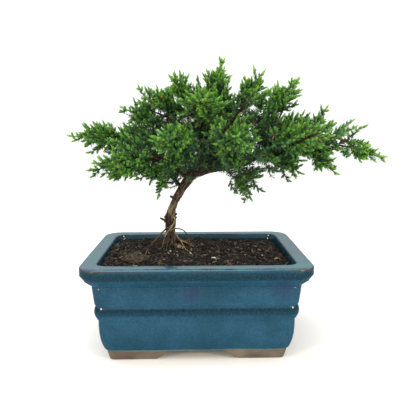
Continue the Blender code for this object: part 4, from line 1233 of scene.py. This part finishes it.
def toneCell(tone, dice):
    # bottom rows are bark and dead straw, the rest run from painted shade to painted sunlit green
    rows = leafShape["toneRows"]
    green = np.clip(tone, 0, 1) * (rows - 5) + 4
    row = np.where(tone < -0.5, dice.uniform(2.2, 3.8, tone.shape), green).astype(int)
    column = dice.integers(0, leafShape["toneColumns"], tone.shape)
    return row, column


def needleMesh(template, store, dice):
    axis, way, side, length, width, bend, tone = (np.concatenate(parts) for parts in zip(*store))
    keep = ~inClearing(axis + way * length[:, None] * 0.5)
    axis, way, side, length, width, bend, tone = (part[keep] for part in (axis, way, side, length, width,
                                                                          bend, tone))
    third = np.cross(way, side)
    shape = np.array(template["points"])
    points = axis[:, None] + way[:, None] * (length[:, None] * shape[:, 0])[..., None]
    points = points + side[:, None] * (width[:, None] / 2 * shape[:, 1])[..., None]
    points = points + third[:, None] * (width[:, None] / 2 * shape[:, 2])[..., None]
    points = points + bend[:, None] * (shape[:, 0] ** 2)[None, :, None]
    faces = np.array(template["faces"])
    corners = (np.arange(len(axis)) * len(shape))[:, None, None] + faces
    row, column = toneCell(tone, dice)
    cell = np.array(template["cell"])[faces]
    uv = np.stack([(column[:, None, None] + cell[..., 0]) / leafShape["toneColumns"],
                   (row[:, None, None] + cell[..., 1]) / leafShape["toneRows"]], axis=-1)
    return points.reshape(-1, 3), corners.reshape(-1, 3), uv.reshape(-1, 2)


def rodMesh(rods, dice, sides):
    allPoints, allFaces, allUv, start = [], [], [], 0
    for path, radii in rods:
        points, quads = rodShape(path, radii, sides)
        triangles = []
        for face in quads:
            triangles += [(face[0], face[k], face[k + 1]) for k in range(1, len(face) - 1)]
        triangles = np.array(triangles)
        row, column = dice.integers(0, 2), dice.integers(0, leafShape["toneColumns"])
        share = (np.arange(len(points)) // sides) / (len(path) - 1)
        ring = (np.arange(len(points)) % sides) / sides
        spots = np.stack([(column + 0.05 + 0.9 * share) / leafShape["toneColumns"],
                          (row + 0.1 + 0.8 * ring) / leafShape["toneRows"]], axis=1)
        allPoints.append(np.array(points))
        allFaces.append(triangles + start)
        allUv.append(spots[triangles].reshape(-1, 2))
        start += len(points)
    return np.concatenate(allPoints), np.concatenate(allFaces), np.concatenate(allUv)


def triangleMesh(name, layers):
    starts = np.cumsum([0, *[len(points) for points, _, _ in layers]])
    points = np.concatenate([layer[0] for layer in layers]).astype(np.float32)
    corners = np.concatenate([layer[1] + start for layer, start in zip(layers, starts)]).astype(np.int32)
    uv = np.concatenate([layer[2] for layer in layers]).astype(np.float32)
    mesh = bpy.data.meshes.new(name)
    mesh.vertices.add(len(points))
    mesh.vertices.foreach_set("co", points.ravel())
    mesh.loops.add(corners.size)
    mesh.loops.foreach_set("vertex_index", corners.ravel())
    mesh.polygons.add(len(corners))
    mesh.polygons.foreach_set("loop_start", np.arange(0, corners.size, 3, dtype=np.int32))
    mesh.polygons.foreach_set("loop_total", np.full(len(corners), 3, dtype=np.int32))
    mesh.update(calc_edges=True)
    mesh.uv_layers.new(name="OFBake").data.foreach_set("uv", uv.ravel())
    return mesh


def juniperNeedles():
    # waxy scale needles: yellow-green where they are new; the tone also holds painted shade, blue-green deep
    # in and under the crown, and painted light on its top and outside
    material, add, shader, _ = newMaterial("juniperNeedles", 0.5, 1.45)
    cell = add("ShaderNodeSeparateXYZ", {"Vector": add("ShaderNodeUVMap", uv_map="OFBake").outputs[0]})
    green = add("ShaderNodeValToRGB", {"Fac": cell.outputs["Y"]},
                ramp=((0.0, "#3a2216"), (0.03, "#54331f"), (0.034, "#a27c45"), (0.058, "#b08a4c"),
                      (0.064, "#34503f"), (0.25, "#456c4e"), (0.42, "#558a46"), (0.6, "#6aa444"),
                      (0.8, "#86bb4c"), (1.0, "#abd465")))
    scaled = add("ShaderNodeMath", {0: cell.outputs["X"], 1: float(leafShape["toneColumns"])},
                 operation="MULTIPLY")
    column = add("ShaderNodeMath", {0: scaled.outputs[0]}, operation="FLOOR")
    along = add("ShaderNodeMath", {0: scaled.outputs[0]}, operation="FRACT")
    chance = add("ShaderNodeTexWhiteNoise", {"W": column.outputs[0]}, noise_dimensions="1D")
    hue = add("ShaderNodeMapRange", {"Value": chance.outputs["Value"], "To Min": 0.485, "To Max": 0.515})
    value = add("ShaderNodeMapRange", {"Value": along.outputs[0], "To Min": 0.78, "To Max": 1.18})
    tinted = add("ShaderNodeHueSaturation", {"Hue": hue.outputs[0], "Value": value.outputs[0],
                                             "Saturation": 1.0, "Color": green.outputs["Color"]})
    join(tinted.outputs["Color"], shader.inputs["Base Color"])
    return material


def foliagePiece(name, green, dice, material, replaced=(), sides=5):
    # returns how many triangles the piece has
    layers = [rodMesh(green.rods, dice, sides), needleMesh(scaleNeedle, green.scales, dice),
              needleMesh(awlNeedle, green.awls, dice)]
    mesh = triangleMesh(name, layers)
    registerPiece(name, mesh, material, replaced, smooth=False)
    return len(mesh.polygons)


def makeFoliage():
    material = juniperNeedles()
    dice = np.random.default_rng(77)
    limbs = limbPoints()
    counts = [foliagePiece("needles_inner_" + side, inner, dice, material, sides=4)
              for side, inner in zip(("left", "right"), growLimbTwigs(dice))]
    for index, (node, (base, tip)) in enumerate(sprays.items()):
        dice = np.random.default_rng(100 + index)
        green = growSpray(node, base, tip, dice, limbs)
        counts.append(foliagePiece(node.replace("spray_", "needles_"), green, dice, material, (node,)))
    print("foliage:", len(sprays), "sprays,", sum(counts), "triangles, the most in one piece", max(counts))


# small things on the soil, and the nets under it

def makeLooseThings():
    moss = scrapMaterial("driedMossOnStone", "#191611", "#554c3d", 2.2, 0.95)
    chipWood = scrapMaterial("splitPine", "#3d301f", "#c4b28c", 1.6, 0.8)
    # the chip is drawn nearer the trunk than its plain solid, x and y in mm, and follows the soil up
    for node, piece, material, slot, rough, nearer in (("pebble", "mossyPebble", moss, "pebble", 1.1, (0, 0)),
                                                       ("wood_chip", "woodChip", chipWood, "wood_chip", 0.8,
                                                        (-3, 5))):
        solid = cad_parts[node]
        bm = bmesh.new()
        bm.from_mesh(solid.data)
        bmesh.ops.remove_doubles(bm, verts=bm.verts[:], dist=0.01 * mm)
        bmesh.ops.subdivide_edges(bm, edges=bm.edges[:], cuts=4, use_grid_fill=True)
        for vertex in bm.verts:
            bump = noise.noise(vertex.co * perMetre(3)) + 0.6 * noise.noise(vertex.co * perMetre(1.2))
            vertex.co += vertex.normal * bump * rough * mm
        here = sum((vertex.co for vertex in bm.verts), Vector()) / len(bm.verts) - Vector((*potMiddle[:2], 0))
        step = Vector((*nearer, 0)) * mm
        step.z = soilHeight(here.x + step.x, here.y + step.y) - soilHeight(here.x, here.y)
        bmesh.ops.translate(bm, verts=bm.verts[:], vec=step)
        mesh = bpy.data.meshes.new(piece)
        bm.to_mesh(mesh)
        bm.free()
        registerPiece(piece, mesh, material, (node,))
    net = scrapMaterial("blackPolythene", "#0b0b0b", "#161616", 3, 0.45)
    for side in ("left", "right"):
        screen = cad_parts["drain_screen_" + side]
        for slot in screen.material_slots:
            slot.material = net


makeStage()
makePot()
print("pot made")
makeSoil()
makeSoilScraps()
print("soil made")
makeWood()
print("wood made")
makeFoliage()
makeLooseThings()
